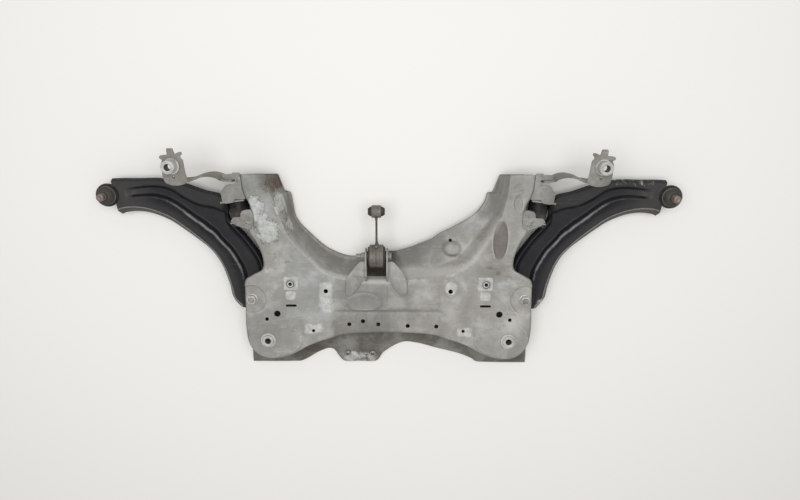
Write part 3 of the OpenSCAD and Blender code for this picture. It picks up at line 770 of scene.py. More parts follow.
@dataclass(frozen=True)
class WornPaint:
    """Weathered paint on pressed steel, with dirt, pale corrosion, clamp marks, rust, painted shade and painted
    highlights from stored masks.
    """

    name: str
    base: Colour
    pale: Colour
    dirt: Colour
    wall: Colour
    steep: float
    contrast: float = 1.0
    rough: float = 0.62
    scale: float = 34.0
    bump: Point = (0.25, 0.0008)
    dust: Colour = (0.47, 0.455, 0.425)
    speck: Colour = (0.09, 0.08, 0.065)
    scratch: Colour = (0.06, 0.055, 0.05)
    grime: Colour = (0.105, 0.09, 0.07)
    # Pale tone of worn edges, painted highlights and painted light
    edge: Colour = (0.52, 0.51, 0.48)
    shadow: Colour = (0.5, 0.485, 0.455)
    chip: Colour = (0.15, 0.142, 0.128)
    dot: Colour = (0.085, 0.075, 0.058)
    tints: tuple[Colour, Colour] = ((0.965, 1.0, 1.03), (1.01, 1.0, 0.975))
    pads: tuple[Colour, Colour] = ((0.4, 0.41, 0.4), (0.62, 0.636, 0.625))
    blooms: tuple[Colour, Colour] = ((0.385, 0.41, 0.4), (0.59, 0.618, 0.604))

    def weathered(self, g: Graph, groups: ShaderGroups, grain: Node) -> NodeSocket:
        """The paint before its stored marks.

        Args:
            g: the material's graph.
            groups: the shared effects.
            grain: the material's grain.

        Returns:
            The colour's socket.
        """
        blotch = grain.outputs["Blotch"]
        dust = g.group(groups.dust, {"Amount": 0.55})
        strokes = g.ramp(g.noise(1.0, 4.0, 0.6, g.stretch((14.0, 70.0, 40.0), -18.0), 1.6), 0.56, 0.72)
        colour = g.mix(blotch, self.dirt, self.base)
        colour = g.mix(g.ramp(blotch, 0.45, 1.0, (0.0, 0.75)), colour, self.pale)
        colour = g.mix(1.0, colour, g.mottle(self.tints, 0.4, 0.62, 7.0, 3.0, 0.5), "MULTIPLY")
        colour = g.wash(colour, strokes, 0.4, self.pale)
        colour = g.wash(colour, dust.outputs["Dust"], 0.2, self.dust)
        # Steep faces are darkened towards the wall tone
        colour = g.wash(colour, dust.outputs["Steep"], self.steep, self.wall)
        colour = g.wash(colour, grain.outputs["Speck"], 0.22, self.speck)
        scratch = g.group(groups.scratch, {"Scale": 1.0, "Amount": 0.3})
        return g.mix(scratch.outputs[0], colour, self.scratch)

    def build(self, groups: ShaderGroups) -> Material:
        """Makes the material.

        Args:
            groups: the shared effects.

        Returns:
            The material.
        """
        mat, g, shader = open_material(self.name)
        grain = g.group(groups.grain, {"Scale": self.scale, "Contrast": self.contrast})
        colour = self.weathered(g, groups, grain)
        ragged = g.ragged(0.5, 120.0, 5.0, 0.65)
        colour = g.wash(colour, g.ramp(g.plus(g.mask("grime"), ragged), 0.15, 0.95), 0.75, self.grime)
        # Painted highlight, painted light and worn edges, from the edge mask
        colour = g.wash(colour, g.ramp(g.plus(g.mask("edge"), ragged), 0.25, 0.8), 0.6, self.edge)
        colour = g.mix(g.mask("shade"), colour, g.mix(1.0, colour, self.shadow, "MULTIPLY"))
        drift = g.plus(g.ragged(0.95, 55.0, 4.0, 0.6), g.times(ragged, 0.4))
        pad = g.ramp(g.plus(g.mask("pad"), drift), 0.36, 0.66)
        colour = g.wash(colour, pad, 0.8, g.mottle(self.pads, 0.35, 0.7, 90.0, 6.0, 0.7))
        chips = g.times(pad, g.ramp(g.noise(230.0, 4.0, 0.7), 0.6, 0.68))
        colour = g.wash(colour, chips, 0.6, self.chip)
        shape = g.plus(g.mask("bloom"), g.ragged(1.5, 30.0, 9.0, 0.66, twist=0.9))
        bloom = g.ramp(shape, 0.38, 0.72)
        colour = g.wash(colour, bloom, 0.76, g.mottle(self.blooms, 0.38, 0.62, 110.0, 5.0, 0.7))
        rim = g.times(g.ramp(shape, 0.38, 0.46), g.ramp(shape, 0.56, 0.48))
        dots = g.times(rim, g.ramp(g.noise(420.0, 2.0, 0.6), 0.44, 0.57))
        colour = g.wash(colour, dots, 0.85, self.dot)
        rust = g.group(groups.rust, {"Mask": g.mask("rust"), "Scale": 55.0})
        colour = g.wash(colour, rust.outputs["Amount"], 0.85, rust.outputs["Color"])
        uneven = g.plus(g.times(grain.outputs["Blotch"], -0.16), self.rough + 0.1)
        rough = g.plus(uneven, g.times(bloom, 0.2), clamp=True)
        shader.inputs["Specular IOR Level"].default_value = 0.35
        lumps = g.plus(grain.outputs["Height"], g.times(g.plus(bloom, rust.outputs["Amount"]), 0.7))
        close_material(g, shader, colour, rough, lumps, self.bump)
        return mat


@dataclass(frozen=True)
class BlackPaint:
    """Satin black paint with scuffs, dust, peeled spots, a painted sheen and painted highlights."""

    name: str = "arm_black"
    base: Colour = (0.0094, 0.0103, 0.0138)
    worn: Colour = (0.017, 0.0172, 0.0195)
    dust: Colour = (0.12, 0.112, 0.1)
    scuff: Colour = (0.085, 0.084, 0.083)
    # Dull grey of dust, and of a painted sheen on the rear slope
    dust_and_sheen: Colour = (0.05, 0.0495, 0.049)
    grime: Colour = (0.14, 0.125, 0.104)
    # Pale tone of the painted highlights on the arm
    edge: Colour = (0.27, 0.268, 0.262)
    peels: tuple[Colour, Colour] = ((0.12, 0.106, 0.088), (0.36, 0.35, 0.325))
    rough: float = 0.42
    bump: Point = (0.2, 0.0006)

    def build(self, groups: ShaderGroups) -> Material:
        """Makes the material.

        Args:
            groups: the shared effects.

        Returns:
            The material.
        """
        mat, g, shader = open_material(self.name)
        grain = g.group(groups.grain, {"Scale": 46.0, "Contrast": 0.9})
        dust = g.group(groups.dust, {"Amount": 0.8})
        colour = g.mix(grain.outputs["Blotch"], self.base, self.worn)
        colour = g.wash(colour, dust.outputs["Dust"], 0.06, self.dust)
        scratch = g.group(groups.scratch, {"Scale": 1.6, "Amount": 0.6})
        colour = g.mix(scratch.outputs[0], colour, self.scuff)
        ragged = g.ragged(0.9, 110.0, 6.0, 0.7)
        # Dust, and a painted sheen on the rear slope, from the front mask
        dust_and_sheen = g.times(g.mask("front"), g.ramp(g.noise(24.0, 5.0, 0.6), 0.2, 0.7, (0.55, 1.0)))
        colour = g.mix(dust_and_sheen, colour, self.dust_and_sheen)
        grime = g.ramp(g.plus(g.mask("grime"), ragged), 0.25, 0.95)
        colour = g.wash(colour, grime, 0.75, self.grime)
        # Painted highlights on the ridge and on the rear lip's bend, from the edge mask
        edge = g.ramp(g.plus(g.mask("edge"), g.times(ragged, 0.7)), 0.3, 0.95)
        colour = g.wash(colour, edge, 0.8, self.edge)
        peel = g.ramp(g.plus(g.mask("pad"), ragged), 0.45, 0.58)
        colour = g.mix(peel, colour, g.mottle(self.peels, 0.4, 0.6, 180.0, 4.0))
        rust = g.group(groups.rust, {"Mask": g.mask("rust"), "Scale": 75.0})
        colour = g.mix(rust.outputs["Amount"], colour, rust.outputs["Color"])
        worn = g.plus(g.times(grain.outputs["Blotch"], 0.14), self.rough - 0.06)
        rough = g.plus(worn, g.times(grime, 0.3), clamp=True)
        shader.inputs["Specular IOR Level"].default_value = 0.2
        close_material(g, shader, colour, rough, g.plus(grain.outputs["Height"], g.times(peel, -0.6)), self.bump)
        return mat


@dataclass(frozen=True)
class BareSteel:
    """Dull plated or bare metal with stains, some rust and painted shade in sleeve bores."""

    name: str
    base: Colour
    stain: Colour
    metal: float
    rough: float
    rust: float
    speck: Colour = (0.06, 0.05, 0.04)
    grime: Colour = (0.05, 0.043, 0.034)
    bump: Point = (0.35, 0.0005)

    def build(self, groups: ShaderGroups) -> Material:
        """Makes the material.

        Args:
            groups: the shared effects.

        Returns:
            The material.
        """
        mat, g, shader = open_material(self.name)
        grain = g.group(groups.grain, {"Scale": 90.0, "Contrast": 1.2})
        colour = g.mix(grain.outputs["Blotch"], self.stain, self.base)
        colour = g.wash(colour, grain.outputs["Speck"], 0.5, self.speck)
        # The grime mask also darkens sleeve bores as painted shade
        grime = g.ramp(g.plus(g.mask("grime"), g.ragged(0.6, 150.0, 5.0, 0.7)), 0.25, 0.9)
        colour = g.wash(colour, grime, 0.85, self.grime)
        rust = g.group(groups.rust, {"Mask": g.plus(g.mask("rust"), self.rust), "Scale": 130.0})
        amount = rust.outputs["Amount"]
        colour = g.wash(colour, amount, 0.9, rust.outputs["Color"])
        g.feed(shader.inputs["Metallic"], g.times(g.math("SUBTRACT", 1.0, amount), self.metal))
        uneven = g.plus(g.times(grain.outputs["Blotch"], -0.18), self.rough + 0.12)
        rough = g.plus(uneven, g.times(amount, 0.3), clamp=True)
        lumps = g.plus(grain.outputs["Height"], g.times(rust.outputs["Height"], 0.8))
        close_material(g, shader, colour, rough, lumps, self.bump)
        return mat


@dataclass(frozen=True)
class Rubber:
    """Old black rubber, dusty in its folds."""

    name: str = "old_rubber"
    base: Colour = (0.017, 0.0165, 0.016)
    worn: Colour = (0.034, 0.032, 0.03)
    dust: Colour = (0.13, 0.112, 0.09)
    rough: float = 0.58
    bump: Point = (0.3, 0.0005)

    def build(self, groups: ShaderGroups) -> Material:
        """Makes the material.

        Args:
            groups: the shared effects.

        Returns:
            The material.
        """
        mat, g, shader = open_material(self.name)
        grain = g.group(groups.grain, {"Scale": 80.0, "Contrast": 1.1})
        dust = g.group(groups.dust, {"Amount": 0.9})
        colour = g.mix(grain.outputs["Blotch"], self.base, self.worn)
        colour = g.wash(colour, dust.outputs["Dust"], 0.35, self.dust)
        grime = g.ramp(g.plus(g.mask("grime"), g.ragged(0.8, 140.0, 5.0, 0.7)), 0.3, 0.8)
        colour = g.wash(colour, grime, 0.7, self.dust)
        rust = g.group(groups.rust, {"Mask": g.mask("rust"), "Scale": 90.0})
        colour = g.wash(colour, rust.outputs["Amount"], 0.7, rust.outputs["Color"])
        rough = g.plus(g.times(grain.outputs["Blotch"], 0.2), self.rough)
        close_material(g, shader, colour, rough, grain.outputs["Height"], self.bump)
        return mat


class Finishes:
    """Every material of the part, by the record's slot."""

    def __init__(self) -> None:
        """Makes every material once."""
        groups = ShaderGroups()
        self.cradle = WornPaint("cradle_grey", (0.345, 0.347, 0.338), (0.44, 0.444, 0.43), (0.235, 0.226, 0.208),
                                (0.165, 0.152, 0.128), 0.3).build(groups)
        self.lower = WornPaint("lower_grime", (0.225, 0.216, 0.197), (0.31, 0.305, 0.288), (0.115, 0.103, 0.086),
                               (0.13, 0.117, 0.097), 0.6, 1.2).build(groups)
        self.bracket = WornPaint("bracket_grey", (0.235, 0.231, 0.22), (0.31, 0.307, 0.293), (0.145, 0.135, 0.12),
                                 (0.16, 0.148, 0.127), 0.6, 1.1).build(groups)
        self.clevis = WornPaint("clevis_grey", (0.375, 0.373, 0.36), (0.48, 0.48, 0.465), (0.26, 0.25, 0.23),
                                (0.2, 0.187, 0.163), 0.6).build(groups)
        self.arm = BlackPaint().build(groups)
        self.steel = BareSteel("dull_steel", (0.4, 0.39, 0.37), (0.19, 0.17, 0.145), 0.55, 0.42, 0.12).build(groups)
        self.rusty = BareSteel("rusted_steel", (0.3, 0.22, 0.17), (0.12, 0.075, 0.05), 0.35, 0.55, 0.55).build(groups)
        self.rod = BareSteel("rod_cast", (0.2, 0.191, 0.17), (0.1, 0.089, 0.074), 0.2, 0.55, 0.1).build(groups)
        self.zinc = BareSteel("zinc_sleeve", (0.58, 0.58, 0.568), (0.3, 0.292, 0.274), 0.15, 0.5, 0.0).build(groups)
        self.copper = BareSteel("browned_stud", (0.27, 0.218, 0.194), (0.14, 0.1, 0.082), 0.3, 0.42, 0.05).build(groups)
        self.dark = BareSteel("dark_steel", (0.04, 0.038, 0.036), (0.02, 0.018, 0.016), 0.2, 0.5, 0.02).build(groups)
        self.rubber = Rubber().build(groups)
        self.by_slot = {
            "cradle_paint": self.cradle, "lower_paint": self.lower, "bracket_paint": self.bracket,
            "plain_steel": self.steel, "rusty_steel": self.rusty, "rod_metal": self.rod,
            "arm_paint": self.arm, "black_rubber": self.rubber,
        }

    def dress_nodes(self) -> None:
        """Gives every CAD node the material of its slot."""
        for part in frame["record"]["subparts"]:
            obj = frame["nodes"][part["node"]]
            obj.data.materials.clear()
            obj.data.materials.append(self.by_slot[part["material_slot"]])


# The cradle's two pressed shells

@dataclass
class CradleShells:
    """The upper and lower pressed shells, as fine sheets of the same form as the solids."""

    # Holes of the upper shell: place and diameter on each side, and those along the rear
    SIDE_HOLES = ((BODY_MOUNT, 28.6), (RACK_MOUNT, 18.6), (REAR_PIVOT, 14.6), ((152, 220), 11), ((273, 161), 16),
                  ((299, 147), 9), ((185, 117), 8))
    REAR_HOLES = ((-97, 131), (-63, 139), (-25, 131), (48, 127), (119, 126))
    # Places of pressings: centre x, centre y, radius x, radius y
    LENS = (-60, 194, 52, 28)
    RECESS = (268, 349, 19.5, 56)
    DOME = (155, 320, 25, 20)
    # Pale corrosion: an oval and its strength; the last oval paints light on the right rear deck
    BLOOMS = (
        (-312, 430, 36, 42, 0.86), (-256, 440, 20, 46, 0.76), (-284, 374, 42, 42, 0.88), (-236, 392, 20, 48, 0.64),
        (-298, 404, 30, 28, 0.72), (-300, 345, 22, 18, 0.4), (304, 470, 50, 36, 0.34), (-262, 300, 46, 40, 0.3),
        (226, 96, 30, 36, 0.24), (312, 125, 60, 70, 0.2))
    # The opening under the clevis, where the lower shell is painted dark as shade: x0, x1, y0, y1
    WINDOW = (-70, 15, 245, 335)

    deck_h: float = 80.0
    arm_rise: float = 20.0
    sheet_t: float = 2.5
    pan_depth: float = 5.0
    seat: float = 0.3
    tip_lean: float = 11.0
    split: int = 12
    rear_start: int = 13
    outer_half: list[Point] = field(default_factory=lambda: [
        (-350, 496), (-346, 462), (-330, 434), (-327, 402), (-336, 372), (-320, 338), (-309, 302),
        (-310, 272), (-337, 256), (-354, 242), (-357, 205), (-357, 160), (-357, 115), (-350, 75),
        (-325, 46), (-286, 37), (-242, 49), (-196, 73), (-150, 89), (-100, 99), (-50, 102)])
    lower_rear: list[Point] = field(default_factory=lambda: [
        (-355, 5), (-294, 5), (-232, 6), (-178, 35), (-146, 41), (-118, 8), (-76, 7), (-34, 8), (-12, 34),
        (33, 60), (74, 58), (122, 45), (177, 31), (213, 17), (233, 6), (294, 5), (355, 5)])
    rim_key: list[tuple[float, float, float]] = field(default_factory=lambda: [
        (0, -271, 496), (1.2, -262, 472), (1.8, -254, 454), (2.1, -242, 451), (3.2, -236, 420), (4.2, -232, 396),
        (5.2, -220, 374), (6.4, -195, 348), (7.6, -173, 327), (8.8, -152, 311), (10.4, -125, 298), (12.4, -101, 291),
        (15, -74, 290), (18, -46, 293), (21, -14, 300), (23.5, 5, 306), (25.5, 28, 313), (28, 54, 321),
        (30, 77, 330), (32, 104, 341), (33.6, 127, 357), (34.8, 146, 366), (36, 174, 381), (37.2, 202, 398),
        (38.2, 222, 414), (39, 236, 432), (39.8, 243, 452), (40.1, 254, 454), (40.8, 262, 472), (42, 271, 496)])
    crest_key: list[tuple[float, float, float]] = field(default_factory=lambda: [
        (0, -284, 496), (3, -262, 425), (5, -237, 357), (7, -208, 317), (9, -180, 287), (11, -156, 264),
        (14, -122, 251), (17, -88, 247), (21, -4, 247), (25, 64, 248), (28, 120, 251), (30, 156, 260),
        (32, 184, 275), (34, 210, 302), (36, 236, 346), (38, 262, 396), (40, 278, 450), (42, 284, 496)])
    wall_curve: list[Point] = field(default_factory=lambda: [
        (0, 0), (0.07, 0.014), (0.15, 0.075), (0.25, 0.19), (0.36, 0.34), (0.6, 0.68), (0.82, 0.93), (1, 1)])

    def __post_init__(self) -> None:
        """Closes the outer edge and lays out the stations."""
        mirrored = [(-x, y) for x, y in reversed(self.outer_half)]
        self.outer_edge = self.outer_half + [(0, 103)] + mirrored
        self.last = len(self.outer_edge) - 1
        self.stations = np.linspace(0, self.last, self.last * self.split + 1)

    def deck_z(self, x: np.ndarray, y: np.ndarray) -> np.ndarray:
        """Height of the deck with its pressings.

        Args:
            x: x in mm.
            y: y in mm.

        Returns:
            The height in mm.
        """
        ax = np.abs(x)
        pivot = np.hypot(ax - REAR_PIVOT[0], y - REAR_PIVOT[1])
        mount = np.hypot(ax - BODY_MOUNT[0], y - BODY_MOUNT[1])
        lens = oval(x, y, self.LENS)
        return (self.deck_h
                + self.arm_rise * blend(285, 420, y)
                - 9 * within(y, 168, 7) * within(ax, 132, 14)
                - 4 * within(pivot, 35.5, 3)
                + 3 * np.maximum(within(mount, 50, 3), within(oval(ax, y, (270, 94, 62, 44)), 0.92, 0.06))
                + 2 * box_mask(ax, y, (219, 254, 222, 254), 2.5)
                + 5 * within(lens, 0.88, 0.16) - 2.2 * within(lens, 0.5, 0.12)
                + 3 * box_mask(x, y, (-2, 124, 176, 236), 4)
                - 5 * within(oval(x, y, self.RECESS), 0.85, 0.16)
                - 2.5 * within(np.hypot(x - 293, y - 250), 9, 2)
                - 3 * within(oval(x, y, (304, 440, 12, 22)), 0.85, 0.2)
                - 2 * within(np.abs(ax - 214 - 0.16 * (y - 120)), 3, 2.5) * box_mask(ax, y, (190, 240, 100, 150), 8)
                + 2.5 * within(np.hypot(ax - 152, y - 220), 15, 4))

    def curvature(self, x: np.ndarray, y: np.ndarray, reach: float = 3.0) -> np.ndarray:
        """How hollow the deck is at a point, from its neighbours' heights."""
        around = sum(self.deck_z(x + dx * reach, y + dy * reach) for dx, dy in ((1, 0), (-1, 0), (0, 1), (0, -1)))
        return around / 4 - self.deck_z(x, y)

    def rim_z(self, s: np.ndarray, ease: float = 1.0) -> np.ndarray:
        """Height of the bay's rim."""
        low = 9 + self.sheet_t + self.seat
        return low + (40 - low) * self.web_share(s) ** ease

    @staticmethod
    def web_share(s: np.ndarray) -> np.ndarray:
        """How much of a station's bay wall is a sloping web."""
        return blend(21, 25, s) * (1 - blend(37, 40, s))

    def upper_rows(self) -> np.ndarray:
        """Returns: rows of points on the upper shell, from its outer edge to the bay's rim."""
        s = self.stations
        o, c, r = curve(self.outer_edge, s), keyed(self.crest_key, s), keyed(self.rim_key, s)
        inward = (c - o) / np.linalg.norm(c - o, axis=1, keepdims=True)
        foot = self.pan_depth + self.sheet_t + self.seat
        steps = curve([(0, 0), (1.5, 0.55), (4, 0.85), (8, 0.97), (14, 1)], np.linspace(0, 4, 12))
        shell = o[:, None] + inward[:, None] * steps[None, :, :1]
        shell_z = foot + (self.deck_z(shell[..., 0], shell[..., 1]) - foot) * np.minimum(steps[None, :, 1], 1)
        deck = across(o + inward * 14, c, np.linspace(0, 1, 57)[1:-1])
        deck_z = self.deck_z(deck[..., 0], deck[..., 1])
        f = np.linspace(0, 1, 26)
        wall = across(c, r, f)
        eased = np.minimum(f / 0.9, 1)
        places = [k[0] for k in self.wall_curve]
        plain = curve(self.wall_curve, np.interp(eased, places, np.arange(len(places))))[:, 1]
        web = 0.62 * blend(0, 0.36, eased) + 0.38 * eased
        share = self.web_share(s)[:, None]
        fall = plain[None] * (1 - share) + web[None] * share
        crest = self.deck_z(c[:, 0], c[:, 1])[:, None]
        knob = within(oval(wall[..., 0], wall[..., 1], self.DOME), 0.82, 0.3)
        wall_z = crest + (self.rim_z(s)[:, None] - crest) * fall + 9 * knob
        rows = np.concatenate([np.dstack(part) for part in ((shell, shell_z), (deck, deck_z), (wall, wall_z))], axis=1)
        tip = 1 - blend(0, 1.5, np.minimum(s, self.last - s))
        rows[..., 1] += (self.tip_lean * tip)[:, None] * (rows[..., 2] - foot) / (crest - foot)
        return rows

    def lower_outer(self) -> np.ndarray:
        """Returns: the lower shell's outer edge at every station."""
        s = self.stations
        first, end = self.rear_start, self.rear_start + len(self.lower_rear) - 1
        rear = np.array(self.lower_rear, float)
        edge = curve(self.outer_edge, s)
        k = np.arange(len(rear)) + first
        straight = np.column_stack([np.interp(s, k, rear[:, i]) for i in (0, 1)])
        smooth = curve(self.lower_rear, np.clip(s - first, 0, len(rear) - 1))
        straight = np.where(((s >= first + 2) & (s <= end - 2))[:, None], smooth, straight)
        edge = np.where(((s >= first) & (s <= end))[:, None], straight, edge)
        for near, far, corner in ((first, first - 2, rear[0]), (end, end + 2, rear[-1])):
            mask = (s - near) * (s - far) < 0
            share = blend(far, near, s)[:, None]
            start = curve(self.outer_edge, far)
            edge = np.where(mask[:, None], start + (corner - start) * share, edge)
        return edge

    def floor_z(self, plan: np.ndarray) -> np.ndarray:
        """Returns: heights of the pan's floor, which is raised round the rear pivots."""
        pivot = np.hypot(np.abs(plan[..., 0]) - REAR_PIVOT[0], plan[..., 1] - REAR_PIVOT[1])
        return self.sheet_t + 13.2 * within(pivot, 42, 4)

    def lower_rows(self) -> np.ndarray:
        """Returns: rows of points on the lower shell's upper face."""
        s = self.stations
        o, c, r = self.lower_outer(), keyed(self.crest_key, s), keyed(self.rim_key, s)
        inward = (c - o) / np.linalg.norm(c - o, axis=1, keepdims=True)
        flange = self.pan_depth + self.sheet_t
        rear = blend(11, 13, s) * (1 - blend(29, 31, s))
        wide = (16 + 32 * rear)[:, None]
        edge = across(o, o + inward * wide, np.linspace(0, 1, 12))
        edge_z = np.maximum(flange, self.floor_z(edge))
        fp = np.linspace(0, 1, 30)[1:]
        pan = across(o + inward * wide, c, fp)
        pan_z = self.floor_z(pan)
        pan_z = pan_z + (np.maximum(flange, pan_z) - pan_z) * (1 - blend(0, 0.12, fp))[None]
        fr = np.linspace(0, 1, 18)[1:]
        rise = across(c, r, fr)
        top = self.rim_z(s, 1.7)[:, None] - self.sheet_t - 3 * self.seat
        rise_z = self.sheet_t + (top - self.sheet_t) * blend(0.3, 0.9, fr)[None]
        return np.concatenate([np.dstack(part) for part in ((edge, edge_z), (pan, pan_z), (rise, rise_z))], axis=1)

    def build(self, finishes: Finishes) -> None:
        """Makes both shells and cuts their holes.

        Args:
            finishes: the materials.
        """
        upper = make_object("upper_skin", *sheet(self.upper_rows(), self.sheet_t))
        holes = Cutter()
        for m in (-1, 1):
            for (x, y), d in self.SIDE_HOLES:
                holes.hole(m * x, y, d)
            rack = m * RACK_MOUNT[0]
            holes.slot((rack - 13.5, rack + 13.5, 179, 185), 2.8, 40, 120)
            holes.slot((*sorted((m * 295, m * 415)), 133, 343), 10, 5, 71)
        for x, y in self.REAR_HOLES:
            holes.hole(x, y, 10.5)
        holes.hole(151, 340, 8)
        holes.slot((-56, 1, 255, 323), 6, 14, 114)
        holes.apply(upper)
        write_masks(upper, {"pad": self.pad, "bloom": self.bloom, "grime": self.grime, "edge": self.edge,
                            "rust": self.rust, "shade": self.tone})
        place(upper, finishes.cradle, "cradle_paint", "cradle", ["upper_shell"])
        lower = make_object("lower_skin", *sheet(self.lower_rows(), self.sheet_t))
        holes = Cutter()
        for m in (-1, 1):
            for (x, y), d in (*self.SIDE_HOLES[:3], ((200, 160), 24), ((285, 330), 18)):
                holes.hole(m * x, y, d)
        holes.hole(0, 180, 30).hole(-107, 30, 9).hole(-42, 30, 9).hole(-60, 26, 6)
        holes.apply(lower)
        write_masks(lower, {"rust": even(0.1), "pad": self.tab_pad, "grime": self.low_grime, "shade": self.low_shade})
        place(lower, finishes.lower, "lower_paint", "cradle", ["lower_shell"])

    @staticmethod
    def pad(p: Surface) -> np.ndarray:
        """Clamp pads and rubbed spots of the upper shell, and a painted highlight on top of the web's dome.

        Args:
            p: the points.

        Returns:
            The mask.
        """
        both = p.folded
        marks = [0.95 * both.box((219, 254, 222, 255), 3), 0.8 * both.box((225, 251, 196, 219), 5),
                 0.72 * p.box((-171, -133, 164, 244), 12), 0.66 * p.box((-208, -162, 107, 137), 8),
                 0.66 * p.box((166, 208, 100, 127), 8), 0.9 * p.spot((153, 228, 17, 19), 0.85, 0.35),
                 0.5 * p.spot((-288, 271, 32, 13)), 0.4 * p.spot((150, 262, 40, 9)),
                 # The last spot is a painted highlight on top of the web's dome
                 0.45 * p.spot((35, 242, 70, 7)), 0.4 * p.spot((152, 324, 17, 11), 0.6)]
        return np.max(marks, axis=0) * (p.up > 0.6)

    def bloom(self, p: Surface) -> np.ndarray:
        """Pale corrosion of the upper shell, and painted light on its right rear deck."""
        return np.max([top * p.spot(shape, soft=0.55) for *shape, top in self.BLOOMS], axis=0) * (p.z > 40)

    def grime(self, p: Surface) -> np.ndarray:
        """Stains at the upper shell's tips, and darker paint in its hollows, groove and recess, round its pivots and at
        its foot.

        Args:
            p: the points.

        Returns:
            The mask.
        """
        hollow = np.clip(self.curvature(p.x, p.y) * 0.6, 0, 0.6) * (p.up > 0.5)
        groove = 0.3 * within(p.y, 163, 7) * within(p.folded.x, 135, 10)
        low = 0.45 * (1 - blend(12, 40, p.z))
        recess = 0.75 * p.spot(self.RECESS, 0.9, 0.12)
        pivot = 0.14 * within(p.folded.reach(REAR_PIVOT), 34, 6)
        tips = 0.85 * p.spot((-272, 492, 46, 42), 0.6) + 0.5 * p.spot((276, 507, 30, 9), 0.7, 0.4)
        stain = 0.62 * np.maximum(p.spot((245, 280, 17, 8), 0.6), p.spot((266, 266, 13, 13), 0.6))
        return np.max([hollow, groove, low, recess, pivot, tips, stain], axis=0)

    def edge(self, p: Surface) -> np.ndarray:
        """Rubbed edges of the upper shell, a painted highlight along its crest and painted light on its right rear
        deck.

        Args:
            p: the points.

        Returns:
            The mask.
        """
        # Painted highlight: a bright band along the crest line
        crest = keyed(self.crest_key, np.linspace(3, 38, 200))
        crest[:, 1] += np.interp(crest[:, 0], [-90, -75, 5, 25, 150, 200], [5, -4, -4, 13, 13, 3])
        ridge = np.clip(-self.curvature(p.x, p.y) * 1.2, 0, 0.8) * (p.up > 0.5)
        wide = np.interp(p.x, [-10, 20], [7, 13])
        bright = np.interp(p.x, [-260, -60, 150, 200], [0.58, 0.78, 0.78, 0.62])
        line = bright * np.exp(-(p.nearest(crest) / wide) ** 2)
        # Painted light: a broad lighter pool on the right rear deck
        painted_light = 0.6 * p.spot((312, 132, 52, 56), 0.6)
        return np.max([ridge, line * (p.up > 0), painted_light * (p.up > 0.8)], axis=0)

    @staticmethod
    def tone(p: Surface) -> np.ndarray:
        """Where the upper shell is darkened with the shadow tone, with painted shade under the rim of the web's dome.

        Args:
            p: the points.

        Returns:
            The mask.
        """
        x, y, z = p.x, p.y, p.z
        web = np.interp(x, [-20, 10, 90, 150, 200], [0, 0.85, 0.72, 0.3, 0]) * within(z, 66, 9) * blend(262, 290, y)
        inner = np.interp(x, [-300, -240, -120, 0, 200, 260], [0.7, 0.4, 0.25, 0, 0, 0.1])
        inner = inner * (1 - blend(34, 80, z)) * blend(240, 262, y)
        panel = 0.42 * within(np.abs(x + 64), 100, 40) * within(y, 160, 12)
        upper = 0.4 * p.box((-120, 60, 172, 226), 18)
        # Painted shade: a dark crescent under the dome's rim
        dome = 0.95 * p.spot((157, 303, 27, 8), 0.6)
        tip = 0.55 * p.spot((-318, 486, 60, 50))
        ends = 0.25 * p.spot((-300, 130, 70, 90)) + 0.4 * p.spot((262, 276, 50, 36), 0.6)
        return np.max([web, inner, panel, upper, dome, tip, ends], axis=0)

    @staticmethod
    def rust(p: Surface) -> np.ndarray:
        """Rust at the upper shell's left tip and its foot."""
        return np.maximum(0.56 * p.spot((-276, 478, 40, 32), 0.7, 0.4), 0.28 * (1 - blend(9, 22, p.z)))

    @staticmethod
    def tab_pad(p: Surface) -> np.ndarray:
        """Bare paint on the lower shell's tab."""
        return 0.54 * within(p.y, 36, 8) * p.spot((-76, 20, 56, 34), 0.9, 0.2) * (p.up > 0)

    def low_grime(self, p: Surface) -> np.ndarray:
        """Darker steep faces and a stain on the lower shell, and painted shade in the pocket under the clevis."""
        stain = 1.3 * p.spot((-196, 42, 38, 14), 0.7, 0.4)
        # The opening's box is painted shade in the pocket under the clevis
        return np.max([0.3 * (1 - p.up) + 0.2, stain, 1.2 * p.box(self.WINDOW, 10)], axis=0)

    def low_shade(self, p: Surface) -> np.ndarray:
        """Painted shade on the lower shell, deepest on its left and in the pocket under the clevis."""
        return np.maximum(np.interp(p.x, [-300, -150, 150, 300], [0.95, 0.5, 0.5, 0.72]), p.box(self.WINDOW, 10))


# Control arms and their joints

